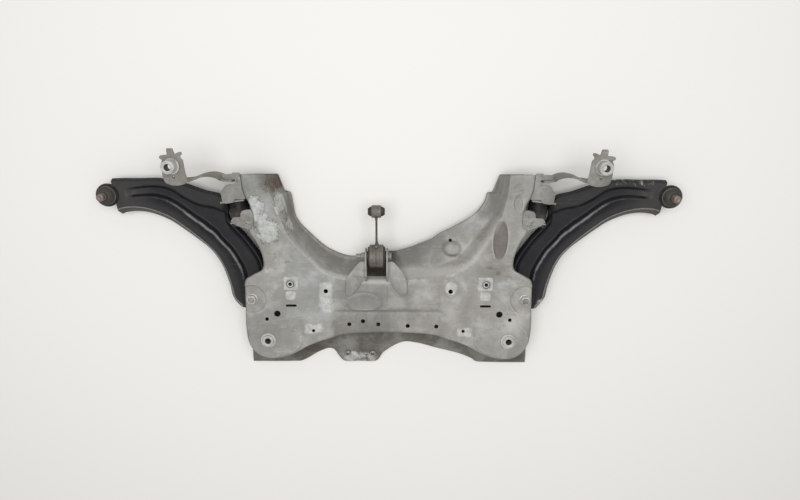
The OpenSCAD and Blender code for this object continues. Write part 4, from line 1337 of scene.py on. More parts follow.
@dataclass
class ControlArm:
    """One pressed control arm with the collar of its ball joint and the tube of its front bush."""

    side: Side
    thickness: float = 3.0
    depth: float = 9.0
    collar: float = 28.0
    split: int = 14
    front: list[Point] = field(default_factory=lambda: [
        (-664, 489), (-640, 490), (-600, 490), (-545, 490), (-490, 479), (-440, 462), (-402, 452), (-385, 428),
        (-385, 395), (-343, 346), (-308, 290), (-302, 235), (-302, 190), (-320, 164)])
    rear: list[Point] = field(default_factory=lambda: [
        (-652, 406), (-638, 411), (-610, 413), (-574, 407), (-532, 390), (-498, 366), (-468, 342), (-446, 322),
        (-426, 300), (-411, 273), (-402, 249), (-394, 220), (-388, 191), (-372, 172)])
    channel: list[tuple[float, float, float]] = field(default_factory=lambda: [
        (0, 0.36, 0.52), (1.7, 0.28, 0.535), (2.7, 0.22, 0.488), (3.5, 0.215, 0.48), (4.2, 0.32, 0.54),
        (4.8, 0.345, 0.585), (5.5, 0.32, 0.622), (6.4, 0.25, 0.63), (7.2, 0.14, 0.58), (8, 0.12, 0.515),
        (8.7, 0.12, 0.482), (9.4, 0.12, 0.495), (10.3, 0.12, 0.5), (13, 0.12, 0.52)])
    lip: list[Point] = field(default_factory=lambda: [(0, 6), (3, 5), (4.2, 5.5), (5.7, 4), (7, 2), (13, 2)])

    def __post_init__(self) -> None:
        """Draws the lines that the wear, dust, painted sheen and painted highlights follow, on the right side."""
        t = np.linspace(0, len(self.front) - 1, 170)
        key = np.array(self.channel)
        far = np.interp(t, key[:, 0], key[:, 2])[:, None]
        self.front_line, self.rear_line = f, r = [curve(edge, t) * (-1, 1) for edge in (self.front, self.rear)]
        self.ridge_line = (f + (r - f) * (far + 0.06))[(t > 1.5) & (t < 10.6)]

    @property
    def body(self) -> str:
        """Returns: the body that the arm is."""
        return f"{self.side.tag}_arm"

    def rows(self) -> np.ndarray:
        """Returns: rows of points on the arm's upper face, for the left side."""
        t = np.linspace(len(self.front) - 1, 0, (len(self.front) - 1) * self.split + 1)
        f, r = curve(self.front, t), curve(self.rear, t)
        wide = np.linalg.norm(r - f, axis=1)[:, None]
        near_edge = np.array([0, 0.8, 1.8, 3.0, 4.5, 6.5, 9.0])
        far_edge = np.array([11.0, 8.5, 6.2, 4.4, 3.0, 1.8, 0.9, 0.0])
        inner = np.linspace(0, 1, 50)[1:-1]
        share = np.concatenate([near_edge / wide, (9 + (wide - 20) * inner) / wide, 1 - far_edge / wide], axis=1)
        plan = f[:, None] + (r - f)[:, None] * share[..., None]
        key = np.array(self.channel)
        near = curve(key[:, 1:2], np.interp(t, key[:, 0], np.arange(len(key))))
        far = curve(key[:, 2:3], np.interp(t, key[:, 0], np.arange(len(key))))
        full = (self.depth * blend(1.2, 1.9, t) * (1 - blend(10.2, 12, t)))[:, None]
        through = blend(6.4, 7.3, t)[:, None]
        inside = blend(0, 1, (share - near + 0.03) * wide / 9)
        inside = np.maximum(inside, through * (share < near))
        inside = inside * (1 - blend(0, 1, (share - far + 0.04) * wide / 9))
        bead = 1.6 * np.exp(-(((share - far - 0.075) * wide) / 7) ** 2) * (full / self.depth)
        level = (54 + 5 * blend(3, 10, t))[:, None]
        down = 11 * (1 - blend(0, 1, (share * wide) / 7)) ** 1.5
        down = down + 22 * (1 - blend(0, 1, ((1 - share) * wide) / 10)) ** 1.6
        flare = np.interp(t, *np.transpose(self.lip))[:, None] * (1 - blend(0, 10, (1 - share) * wide))
        plan = plan + ((r - f) / wide)[:, None] * flare[..., None]
        return np.dstack([plan, level - full * inside + bead - down])

    def build(self, finishes: Finishes) -> None:
        """Makes the arm's pressing and the tube of its front bush.

        Args:
            finishes: the materials.
        """
        tag, side = self.side.tag, self.side.value
        verts, faces = sheet(self.rows(), self.thickness)
        arm = make_object(f"arm_pressing_{tag}", verts * (-side, 1, 1), faces)
        profile = ((27.4, 50.7), (self.collar, 51.3), (self.collar, 53.2), (27.4, 53.7))
        ring = stack([round_ring(r, z) for r, z in profile])
        combine(arm, [solid("collar", ring, self.side.at(BALL_JOINT))], "UNION")
        holes = Cutter()
        for (x, y), d in ((BALL_JOINT, 48.3), (REAR_PIVOT, 62.3)):
            holes.hole(x * side, y, d, 0, 100)
        holes.bore(23.3, (-45, 45), Matrix.Scale(-side, 4, (1, 0, 0)) @ self.pivot_matrix())
        holes.apply(arm)
        # The front mask holds dust and a painted sheen
        write_masks(arm, {"grime": self.grime, "edge": self.edge, "pad": self.peel, "front": self.dust_and_sheen})
        place(arm, finishes.arm, "arm_paint", self.body, [f"control_arm_{tag}"])
        self.eye(finishes)

    def eye(self, finishes: Finishes) -> None:
        """Makes the outer tube of the front bush, browned towards the rear.

        Args:
            finishes: the materials.
        """
        tag = self.side.tag
        half = [(23, 20.4), (22.4, 21), (20, 21), (19.5, 20.6)]
        profile = [(r, -z) for r, z in reversed(half)] + half
        tube = solid(f"bush_tube_{tag}", lathe(profile), self.pivot_matrix())
        flip(tube, self.side)
        write_masks(tube, {"rust": lambda p: 0.36 * within(p.y, 420, 4), "grime": lambda p: 0.8 * within(p.y, 424, 4)})
        place(tube, finishes.arm, "arm_paint", self.body, [f"front_eye_{tag}"])

    @staticmethod
    def pivot_matrix() -> Matrix:
        """Returns: the left front pivot's place, with z along the swing axis."""
        turn = math.atan2(FRONT_PIVOT[0] - REAR_PIVOT[0], FRONT_PIVOT[1] - REAR_PIVOT[1])
        place_at = Side.LEFT.at(FRONT_PIVOT, PIVOT_Z)
        return place_at @ Matrix.Rotation(turn, 4, "Z") @ Matrix.Rotation(-math.pi / 2, 4, "X")

    def grime(self, p: Surface) -> np.ndarray:
        """Dirt on the arm's rear lip and round its ball joint."""
        both = p.folded
        strip = 0.75 * within(both.nearest(self.rear_line), 7, 5) * (p.up < 0.75)
        return np.maximum(strip, 0.25 * within(both.reach(BALL_JOINT), 40, 10))

    def edge(self, p: Surface) -> np.ndarray:
        """Painted highlights on the bend of the arm's rear lip and along its ridge.

        Args:
            p: the points.

        Returns:
            The mask.
        """
        both = p.folded
        # Both lines are painted highlights, on the lip's bend and along the ridge
        rim = 1.1 * np.exp(-((both.nearest(self.rear_line) - 8.8) / 1.9) ** 2)
        bright = np.interp(both.x, [340, 370, 480, 540, 600], [0.3, 0.74, 0.78, 0.45, 0.25])
        return np.maximum(rim, bright * np.exp(-(both.nearest(self.ridge_line) / 4.8) ** 2)) * (p.up > 0)

    def peel(self, p: Surface) -> np.ndarray:
        """Peeled paint at the arm's front edge and at its inner end.

        Args:
            p: the points.

        Returns:
            The mask.
        """
        both = p.folded
        top_share, tail_share = (0.455, 0.62) if self.side is Side.RIGHT else (0.2, 0.372)
        top = within(both.nearest(self.front_line), 16, 5) * both.box((532, 640, 400, 520), 12)
        return np.maximum(top_share * top, tail_share * both.spot((376, 186, 18, 18))) * (p.up > 0)

    def dust_and_sheen(self, p: Surface) -> np.ndarray:
        """Dust on the arm's flat and its outer end, and a painted sheen on its rear slope.

        Args:
            p: the points.

        Returns:
            The mask.
        """
        both = p.folded
        flat = 1 - blend(1.5, 5, 54 + 5 * within(both.x, 426, 120) - p.z)
        ahead = both.nearest(self.front_line) < both.nearest(self.ridge_line)
        dusty = np.interp(both.x, [380, 500], [0.25, 0.55]) * flat * ahead * (p.up > 0.6)
        outer = 0.95 * blend(540, 630, both.x) * (p.up > 0.6)
        # Painted sheen: a lighter band on the rear slope
        slope = 0.5 * within(both.nearest(self.rear_line), 24, 8) * (p.up > 0)
        return np.max([dusty, outer, slope], axis=0)


# Geometry Nodes for what repeats along a path

class PathNodes:
    """Node trees for weld beads and screw threads."""

    OUT = {"Geometry": "Geometry"}

    def __init__(self) -> None:
        """Builds both trees once."""
        self.bead = self._bead()
        self.thread = self._thread()

    @staticmethod
    def _end(g: Graph, shape: NodeSocket, start: Node, end: Node) -> None:
        """Closes a tree with real geometry and its material.

        Args:
            g: the graph.
            shape: the geometry's socket.
            start: the tree's input node.
            end: the tree's output node.
        """
        real = g.node("GeometryNodeRealizeInstances", {0: shape})
        paint = start.outputs["Material"]
        dressed = g.node("GeometryNodeSetMaterial", {"Geometry": real.outputs[0], "Material": paint})
        g.feed(end.inputs[0], dressed.outputs[0])

    def _bead(self) -> NodeTree:
        """Returns: a rippled weld bead along a path of edges."""
        g, start, end = open_tree("weld_bead", "GeometryNodeTree", {
            "Geometry": ("Geometry", None), "Bead Radius": ("Float", 0.0025), "Ripple Pitch": ("Float", 0.0026),
            "Ripple Depth": ("Float", 0.16), "Seed": ("Float", 3.0), "Material": ("Material", None)}, self.OUT)
        path = g.node("GeometryNodeMeshToCurve", {"Mesh": start.outputs["Geometry"]}).outputs[0]
        fine = g.node("GeometryNodeResampleCurve", {"Curve": path, "Length": 0.0007}, mode="LENGTH")
        length = g.node("GeometryNodeSplineParameter").outputs["Length"]
        turns = g.times(g.math("DIVIDE", length, start.outputs["Ripple Pitch"]), math.pi)
        wave = g.times(g.math("ABSOLUTE", g.math("SINE", turns)), start.outputs["Ripple Depth"])
        uneven = g.node("ShaderNodeTexNoise", {"Scale": 160.0, "Detail": 2.0, "W": start.outputs["Seed"]},
                        noise_dimensions="4D").outputs[0]
        size = g.plus(g.plus(wave, 0.72), g.times(uneven, 0.4))
        ring = g.node("GeometryNodeCurvePrimitiveCircle", {"Resolution": 10, "Radius": start.outputs["Bead Radius"]})
        tube = g.node("GeometryNodeCurveToMesh", {"Curve": fine.outputs[0], "Profile Curve": ring.outputs[0],
                                                  "Scale": size, "Fill Caps": True})
        self._end(g, tube.outputs[0], start, end)
        return g.tree

    def _thread(self) -> NodeTree:
        """Returns: a screw thread's ridge round z."""
        g, start, end = open_tree("screw_thread", "GeometryNodeTree", {
            "Geometry": ("Geometry", None), "Radius": ("Float", 0.006), "Length": ("Float", 0.012),
            "Pitch": ("Float", 0.0015), "Depth": ("Float", 0.0006), "Material": ("Material", None)}, self.OUT)
        turns = g.math("DIVIDE", start.outputs["Length"], start.outputs["Pitch"])
        radius = start.outputs["Radius"]
        spiral = g.node("GeometryNodeCurveSpiral", {"Resolution": 40, "Rotations": turns, "Start Radius": radius,
                                                    "End Radius": radius, "Height": start.outputs["Length"]})
        ring = g.node("GeometryNodeCurvePrimitiveCircle", {"Resolution": 4, "Radius": start.outputs["Depth"]})
        ridge = g.node("GeometryNodeCurveToMesh", {"Curve": spiral.outputs[0], "Profile Curve": ring.outputs[0],
                                                   "Fill Caps": True})
        self._end(g, ridge.outputs[0], start, end)
        return g.tree

    @staticmethod
    def run(tree: NodeTree, verts: np.ndarray | Sequence, edges: Sequence[tuple[int, int]],
            inputs: dict) -> Mesh:
        """Evaluates a tree on a path.

        Args:
            tree: the node tree.
            verts: points in metres.
            edges: the path's edges.
            inputs: values by the inputs' names.

        Returns:
            The finished mesh.
        """
        host_mesh = bpy.data.meshes.new("path")
        host_mesh.from_pydata(np.asarray(verts, float).tolist(), list(edges), [])
        host = bpy.data.objects.new("path", host_mesh)
        bpy.context.scene.collection.objects.link(host)
        live = host.modifiers.new("nodes", "NODES")
        live.node_group = tree
        ids = {item.name: item.identifier for item in tree.interface.items_tree if item.in_out == "INPUT"}
        for key, value in inputs.items():
            live[ids[key]] = value
        graph = bpy.context.evaluated_depsgraph_get()
        made = bpy.data.meshes.new_from_object(host.evaluated_get(graph))
        host.modifiers.clear()
        drop(host)
        return made


# Fasteners, sleeves and brackets

@dataclass
class Fasteners:
    """Nuts, bolts and sleeves with chamfers and threads."""

    finishes: Finishes
    paths: PathNodes

    @staticmethod
    def bolt(size: float, shank: float, length: float, head: float) -> Shape:
        """A flange bolt with its head below z = 0.

        Args:
            size: width across flats.
            shank: shank radius.
            length: shank length.
            head: height of the head.

        Returns:
            Points and faces.
        """
        corner = size * 0.58
        return stack([hex_ring(size, -head, size * 0.44), hex_ring(size, -head, size * 0.47),
                      hex_ring(size, -head + size * 0.045, size * 0.53), hex_ring(size, -head + size * 0.1, corner),
                      hex_ring(size, -2.4, corner), round_ring(size * 0.62, -2.2), round_ring(size * 0.675, -1.3),
                      round_ring(size * 0.68, -0.3), round_ring(size * 0.66, 0), round_ring(shank, 0),
                      round_ring(shank, length - 1.2), round_ring(shank - 1.1, length)])

    @staticmethod
    def nut(size: float, bore: float, height: float) -> Shape:
        """A flange nut that stands on z = 0.

        Args:
            size: width across flats.
            bore: bore radius.
            height: its height.

        Returns:
            Points and faces.
        """
        corner = size * 0.58
        return stack([round_ring(bore, 0), round_ring(size * 0.66, 0), round_ring(size * 0.68, 0.3),
                      round_ring(size * 0.675, 1.3), round_ring(size * 0.62, 2.2), hex_ring(size, 2.4, corner),
                      hex_ring(size, height - size * 0.1, corner), hex_ring(size, height - size * 0.045, size * 0.53),
                      hex_ring(size, height, size * 0.47), round_ring(bore + 0.8, height),
                      round_ring(bore, height - 0.8)], True)

    def threaded(self, obj: Object, matrix: Matrix, r: float, z0: float, length: float) -> None:
        """Adds a thread to a bolt.

        Args:
            obj: the bolt.
            matrix: the bolt's place, in mm.
            r: radius that the ridge sits on.
            z0: where the thread starts along the bolt.
            length: its length.
        """
        ridge = PathNodes.run(self.paths.thread, [(0, 0, 0)], [], {
            "Radius": (r - 0.25) * MM, "Length": length * MM, "Pitch": 1.5 * MM, "Depth": 0.5 * MM,
            "Material": self.finishes.steel})
        lift = matrix @ Matrix.Translation((0, 0, z0)) @ Matrix.Scale(1 / MM, 4)
        ridge.transform(Matrix.Scale(MM, 4) @ Matrix.Translation((0, -DATUM_Y, 0)) @ lift)
        add_mesh(obj, ridge)

    def bead(self, obj: Object, line: Sequence[tuple[float, float, float]], r: float) -> None:
        """Adds a weld bead to a piece."""
        edges = [(i, i + 1) for i in range(len(line) - 1)]
        inputs = {"Bead Radius": r * MM, "Material": self.finishes.clevis}
        add_mesh(obj, PathNodes.run(self.paths.bead, to_frame(line), edges, inputs))

    def rear_pivot(self, side: Side) -> None:
        """The upright bolt and nut of a control arm's rear bush.

        Args:
            side: which side.
        """
        tag, base = side.tag, side.at(REAR_PIVOT, 12.0)
        bolt = solid(f"rear_bolt_{tag}", self.bolt(21, 7, 78, 11), base)
        self.threaded(bolt, base, 7, 64, 12.5)
        place(bolt, self.finishes.steel, "rusty_steel", "cradle", [f"rear_pivot_bolt_{tag}"])
        nut = solid(f"rear_nut_{tag}", self.nut(21, 7.2, 13), side.at(REAR_PIVOT, 76.6))
        place(nut, self.finishes.zinc, "plain_steel", "cradle", [f"rear_pivot_nut_{tag}"])

    def front_pivot(self, side: Side) -> None:
        """The lying bolt and nut of a control arm's front bush.

        Args:
            side: which side.
        """
        tag = side.tag
        axis = Matrix.Scale(-side.value, 4, (1, 0, 0)) @ ControlArm.pivot_matrix()
        head, foot = (axis @ Matrix.Translation((0, 0, z)) @ Matrix.Rotation(math.pi, 4, "X") for z in (27.8, -27.8))
        bolt = solid(f"front_bolt_{tag}", self.bolt(18, 6, 72, 9), head)
        self.threaded(bolt, head, 6, 57, 14)
        place(bolt, self.finishes.rusty, "rusty_steel", "cradle", [f"front_pivot_bolt_{tag}"])
        nut = solid(f"front_nut_{tag}", self.nut(18, 6.2, 11), foot)
        place(nut, self.finishes.steel, "plain_steel", "cradle", [f"front_pivot_nut_{tag}"])

    def body_sleeve(self, side: Side) -> None:
        """The rear body-mount sleeve with its stepped collar.

        Args:
            side: which side.
        """
        profile = [(7.25, 0.6), (7.8, 0), (14, 0), (14, 83.3), (18.4, 83.3), (19, 83.9), (19, 85.4), (18.5, 86.2),
                   (17.6, 86.5), (16.6, 86.3), (15.4, 86.3), (14.8, 86.6), (14.2, 87.4), (14, 88.4), (14, 91.2),
                   (13.5, 92), (12.8, 92.3), (11.6, 92.3), (11, 91.9), (10.2, 91.9), (9.7, 92.3), (8.6, 92.3),
                   (7.7, 91.7), (7.25, 90.6)]
        obj = solid(f"body_sleeve_{side.tag}", lathe(profile, 80), side.at(BODY_MOUNT))
        # Painted shade in the sleeve's bore
        write_masks(obj, {"grime": bore_shade(side, BODY_MOUNT, 91)})
        place(obj, self.finishes.zinc, "bracket_paint", "cradle", [f"rear_sleeve_{side.tag}"])

    def rack_sleeve(self, side: Side) -> None:
        """The threaded rack spacer with its raised ring, a darker groove and painted shade in its bore.

        Args:
            side: which side.
        """
        inner = [(4.25 + 0.35 * (i % 2), 85.0 - 0.75 * i) for i in range(24)]
        profile = [(4.25, 1), (9, 1), (9, 82.3), (11.6, 82.3), (12, 82.7), (12, 84.6), (11.5, 85.3), (10.4, 85.3),
                   (9.8, 84.7), (8.6, 84.5), (7.6, 84.9), (7, 85.3), (5.6, 85.3), (4.9, 85.1)] + inner
        obj = solid(f"rack_spacer_{side.tag}", lathe(profile), side.at(RACK_MOUNT))
        # A darker ring in the groove, and painted shade in the bore
        write_masks(obj, {"grime": lambda p: 0.95 * np.maximum(
            within(np.abs(p.folded.reach(RACK_MOUNT) - 8.7), 1.3, 0.5) * (p.z > 80),
            within(p.folded.reach(RACK_MOUNT), 4.8, 0.2))})
        place(obj, self.finishes.zinc, "plain_steel", "cradle", [f"rack_sleeve_{side.tag}"])

    def tab_nuts(self) -> None:
        """The two weld nuts on the rear tab."""
        profile = [(4.25, 0), (7.6, 0), (8, 0.5), (8, 5.6), (7.4, 6.6), (6.6, 7), (5.2, 7), (4.6, 6.6), (4.25, 6)]
        verts, faces = lathe(profile, 48)
        shapes = [(moved(verts, Matrix.Translation((x, 30, 7.8))), faces) for x in (-107, -42)]
        place(make_object("weld_nuts", *merged(shapes)), self.finishes.steel, "plain_steel", "cradle", ["tab_nuts"])

    def build(self) -> None:
        """Makes all of them."""
        for side in Side:
            self.rear_pivot(side)
            self.front_pivot(side)
            self.body_sleeve(side)
            self.rack_sleeve(side)
        self.tab_nuts()


@dataclass
class BallJoint:
    """Housing, boot, clip and stud at the tip of a control arm."""

    side: Side
    ball_z: float = 46.0
    ball_r: float = 13.5
    boot_z: float = 60.3
    cup: list[Point] = field(default_factory=lambda: [
        (0.2, 28), (17.2, 28), (18, 28.3), (23.4, 32.4), (24, 33.4), (24, 54.3), (26.4, 54.3), (27, 54.9), (27, 57.2),
        (26.4, 58), (24.6, 59.2), (24, 60), (16.3, 60)])
    fold: list[Point] = field(default_factory=lambda: [
        (18, 0.2), (21.4, 0), (22, 0.7), (22.2, 2.4), (21.6, 3.1), (21.7, 3.7), (22.4, 4.6), (22.3, 5.8), (21.2, 7.2),
        (20.1, 8.2), (20.2, 9.2), (20.6, 10.2), (20.2, 11.4), (18.4, 13.2), (16.4, 14.9), (14.9, 16.4), (14, 16.7),
        (13.5, 17.3), (12.5, 17.9), (11, 18), (9.6, 17.8), (9.3, 17), (9.3, 15.3), (12.4, 14.2), (17.4, 10.4),
        (17, 8.2), (19.4, 4.2)])
    pin: list[Point] = field(default_factory=lambda: [
        (7.5, 58), (7.5, 66), (8.7, 75), (8.7, 79.5), (9, 80), (9, 82), (8.6, 82.8), (7.6, 84), (7.6, 88), (8.6, 89.2),
        (9, 90), (9, 95.6), (8.7, 96.6), (7.9, 97.6), (7.2, 98), (3.2, 98), (2.6, 97.6), (0.3, 96.6)])

    @staticmethod
    def arc(r: float, middle: Point, angles: np.ndarray) -> list[Point]:
        """Returns: points on a circle round a middle of the profile."""
        return [(middle[0] + r * math.cos(a), middle[1] + r * math.sin(a)) for a in angles]

    def build(self, finishes: Finishes) -> None:
        """Makes the joint's pieces.

        Args:
            finishes: the materials.
        """
        tag, arm, here = self.side.tag, f"{self.side.tag}_arm", self.side.at(BALL_JOINT)
        low = -math.pi / 2
        bowl = self.arc(self.ball_r + 0.05, (0, self.ball_z), np.linspace(low + 0.02, 0.42, 14))
        housing = solid(f"joint_cup_{tag}", lathe(self.cup + bowl[::-1], 72), here)
        write_masks(housing, {"grime": even(0.35), "rust": even(0.2)})
        place(housing, finishes.arm, "arm_paint", arm, [f"ball_housing_{tag}"])
        boot = solid(f"joint_boot_{tag}", lathe([(r, z + self.boot_z) for r, z in self.fold], 80), here)
        write_masks(boot, {"grime": lambda p: 0.3 + 0.3 * (1 - blend(62, 74, p.z)),
                           "rust": even(0.3 if self.side is Side.RIGHT else 0.08)})
        foot, neck = ((BALL_JOINT[0] * self.side.value, BALL_JOINT[1], z) for z in (62.8, 75.0))
        place(boot, finishes.rubber, "black_rubber", arm, [f"ball_boot_{tag}"], (f"{tag}_stud", foot, neck))
        clip = self.arc(0.65, (22.1, 61.9), np.linspace(0, 2 * math.pi, 10, endpoint=False))
        place(solid(f"boot_clip_{tag}", lathe(clip, 80), here), finishes.steel, "plain_steel", arm)
        ball = self.arc(self.ball_r, (0, self.ball_z), np.linspace(low + 0.015, 0.95, 20))
        stud = solid(f"joint_stud_{tag}", lathe(ball + self.pin, closed=False), here)
        write_masks(stud, {"rust": even(0.12)})
        place(stud, finishes.copper, "rusty_steel", f"{tag}_stud", [f"ball_stud_{tag}"])


@dataclass
class FrontBracket:
    """The front body-mount bracket of one side: strap, plate with its three tabs, and sleeve."""

    side: Side
    height: float = 165.0
    thickness: float = 5.0
    path: list[Point] = field(default_factory=lambda: [
        (-349, 487), (-370, 487), (-386, 490.5), (-395, 498), (-408, 503), (-424, 501.5), (-437, 495.5), (-458, 493.5),
        (-476, 494), (-487, 498)])
    outline: list[Point] = field(default_factory=lambda: [
        (-484, 569), (-482.5, 572), (-470, 572), (-469, 568), (-467, 561), (-464, 560), (-459, 563.5), (-452, 564.5),
        (-450, 562), (-451, 558), (-454, 556), (-454, 551), (-449, 547), (-446, 521), (-443, 507), (-440, 499),
        (-449, 493), (-461, 490), (-475, 490), (-488, 494), (-493, 500), (-496, 509), (-498, 538), (-495, 544),
        (-495, 547), (-500, 549.5), (-501, 553), (-498, 556.5), (-491, 557.5), (-483, 558)])

    def strap(self) -> Object:
        """Returns: the upright S-bent strap, for the left side."""
        t = np.linspace(0, len(self.path) - 1, 90)
        line = curve(self.path, t)
        along = np.gradient(line, axis=0)
        along /= np.linalg.norm(along, axis=1, keepdims=True)
        out = np.column_stack([along[:, 1], -along[:, 0]])
        h = self.height
        low = np.interp(-line[:, 0], [349, 380, 430, 500], [40, 44, 96, h - 40])
        high = np.interp(-line[:, 0], [349, 357.5, 359, 385, 414, 450, 500],
                         [85.5, 85.5, 102, 108, h - 20, h + 1, h + 1])
        share = np.linspace(0, 1, 22)
        z = low[:, None] + (high - low)[:, None] * share[None]
        face = line + out * self.thickness / 2
        rows = np.dstack([np.repeat(face[:, None, :], len(share), axis=1), z])
        return make_object("strap", *sheet(rows[:, ::-1], self.thickness))

    def build(self, finishes: Finishes) -> None:
        """Makes the bracket and its sleeve.

        Args:
            finishes: the materials.
        """
        tag, h = self.side.tag, self.height
        base = plate(f"body_bracket_{tag}", rounded(self.outline, 2.5), h, h + 4)
        combine(base, [self.strap()], "UNION")
        Cutter().hole(-HORN_MOUNT[0], HORN_MOUNT[1], 18.5, h - 5, h + 15).hole(-471, 508, 7, h - 5, h + 15).apply(base)
        flip(base, self.side)
        place(base, finishes.bracket, "bracket_paint", "cradle", [f"horn_{tag}"])
        profile = [(7.25, 0), (17.4, 0), (18, 0.6), (18, 2.2), (17.3, 3), (15.8, 3.2), (15.2, 4), (15, 5), (15, 25.6),
                   (14.5, 26.6), (13.8, 27), (12.4, 27), (11.7, 26.4), (10.4, 26.4), (9.8, 27), (8.6, 27), (7.8, 26.4),
                   (7.25, 25.4)]
        sleeve = solid(f"bracket_sleeve_{tag}", lathe(profile, 72), self.side.at(HORN_MOUNT, h + 4.3))
        # Painted shade in the sleeve's bore
        write_masks(sleeve, {"grime": bore_shade(self.side, HORN_MOUNT, h + 30)})
        place(sleeve, finishes.zinc, "bracket_paint", "cradle", [f"horn_sleeve_{tag}"])


@dataclass
class PivotEars:
    """The two ears that hold a control arm's front bush."""

    side: Side
    half: float = 23.5
    thickness: float = 4.0
    top: float = 100.3
    front_flange: list[Point] = field(default_factory=lambda: [
        (-384.5, 440.5), (-388.5, 464), (-376.5, 481), (-369.5, 483.5), (-353, 483.5), (-353, 495.5),
        (-369.5, 495.5), (-380.5, 498), (-382.5, 507), (-359.5, 508), (-358.5, 511), (-342, 511), (-341, 506),
        (-338, 472), (-331, 450.5), (-338, 449), (-356, 449), (-359.5, 441.5), (-376.5, 438.5)])
    rear_flange: list[Point] = field(default_factory=lambda: [
        (-361.5, 390.5), (-368.5, 397.5), (-362.5, 406), (-345, 407), (-345, 415), (-341, 421.5), (-329, 425),
        (-320, 425), (-316, 418), (-315, 400), (-317, 384), (-328, 377), (-351.5, 385)])

    def ear(self, name: str, wall: Sequence[Point], at: float, flange: Sequence[Point]) -> Object:
        """One ear with the flange at its top.

        Args:
            name: the piece's name.
            wall: the upright plate across the swing axis.
            at: where the plate stands along the axis.
            flange: plan of the flange.

        Returns:
            The ear.
        """
        obj = plate(name, rounded(flange, 2), self.top, self.top + self.thickness)
        upright = plate("wall", rounded(wall, 4), at, at + self.thickness, ControlArm.pivot_matrix())
        Cutter().bore(6.3, (at - 5, at + 9), ControlArm.pivot_matrix()).apply(upright)
        combine(obj, [upright], "UNION")
        flip(obj, self.side)
        return obj

    def build(self, finishes: Finishes) -> None:
        """Makes both ears.

        Args:
            finishes: the materials.
        """
        tag, reach = self.side.tag, 44 - self.top
        front = [(-18, 26), (22, 26), (28, reach), (-30, reach), (-20, -22)]
        rear = [(-20, 24), (25, 24), (28, reach), (-14, reach), (-20, -8)]
        for end, wall, at, flange in (("front", front, self.half, self.front_flange),
                                      ("rear", rear, -self.half - self.thickness, self.rear_flange)):
            obj = self.ear(f"pivot_ear_{end}_{tag}", wall, at, flange)
            # The ears are darker towards the bottom, and darkened all over with the shadow tone
            write_masks(obj, {"grime": lambda p: 0.5 * (1 - blend(40, 90, p.z)), "shade": even(0.45),
                              "bloom": lambda p: 0.3 * (p.z > 95)})
            place(obj, finishes.cradle, "cradle_paint", "cradle", [f"{end}_ear_{tag}"])


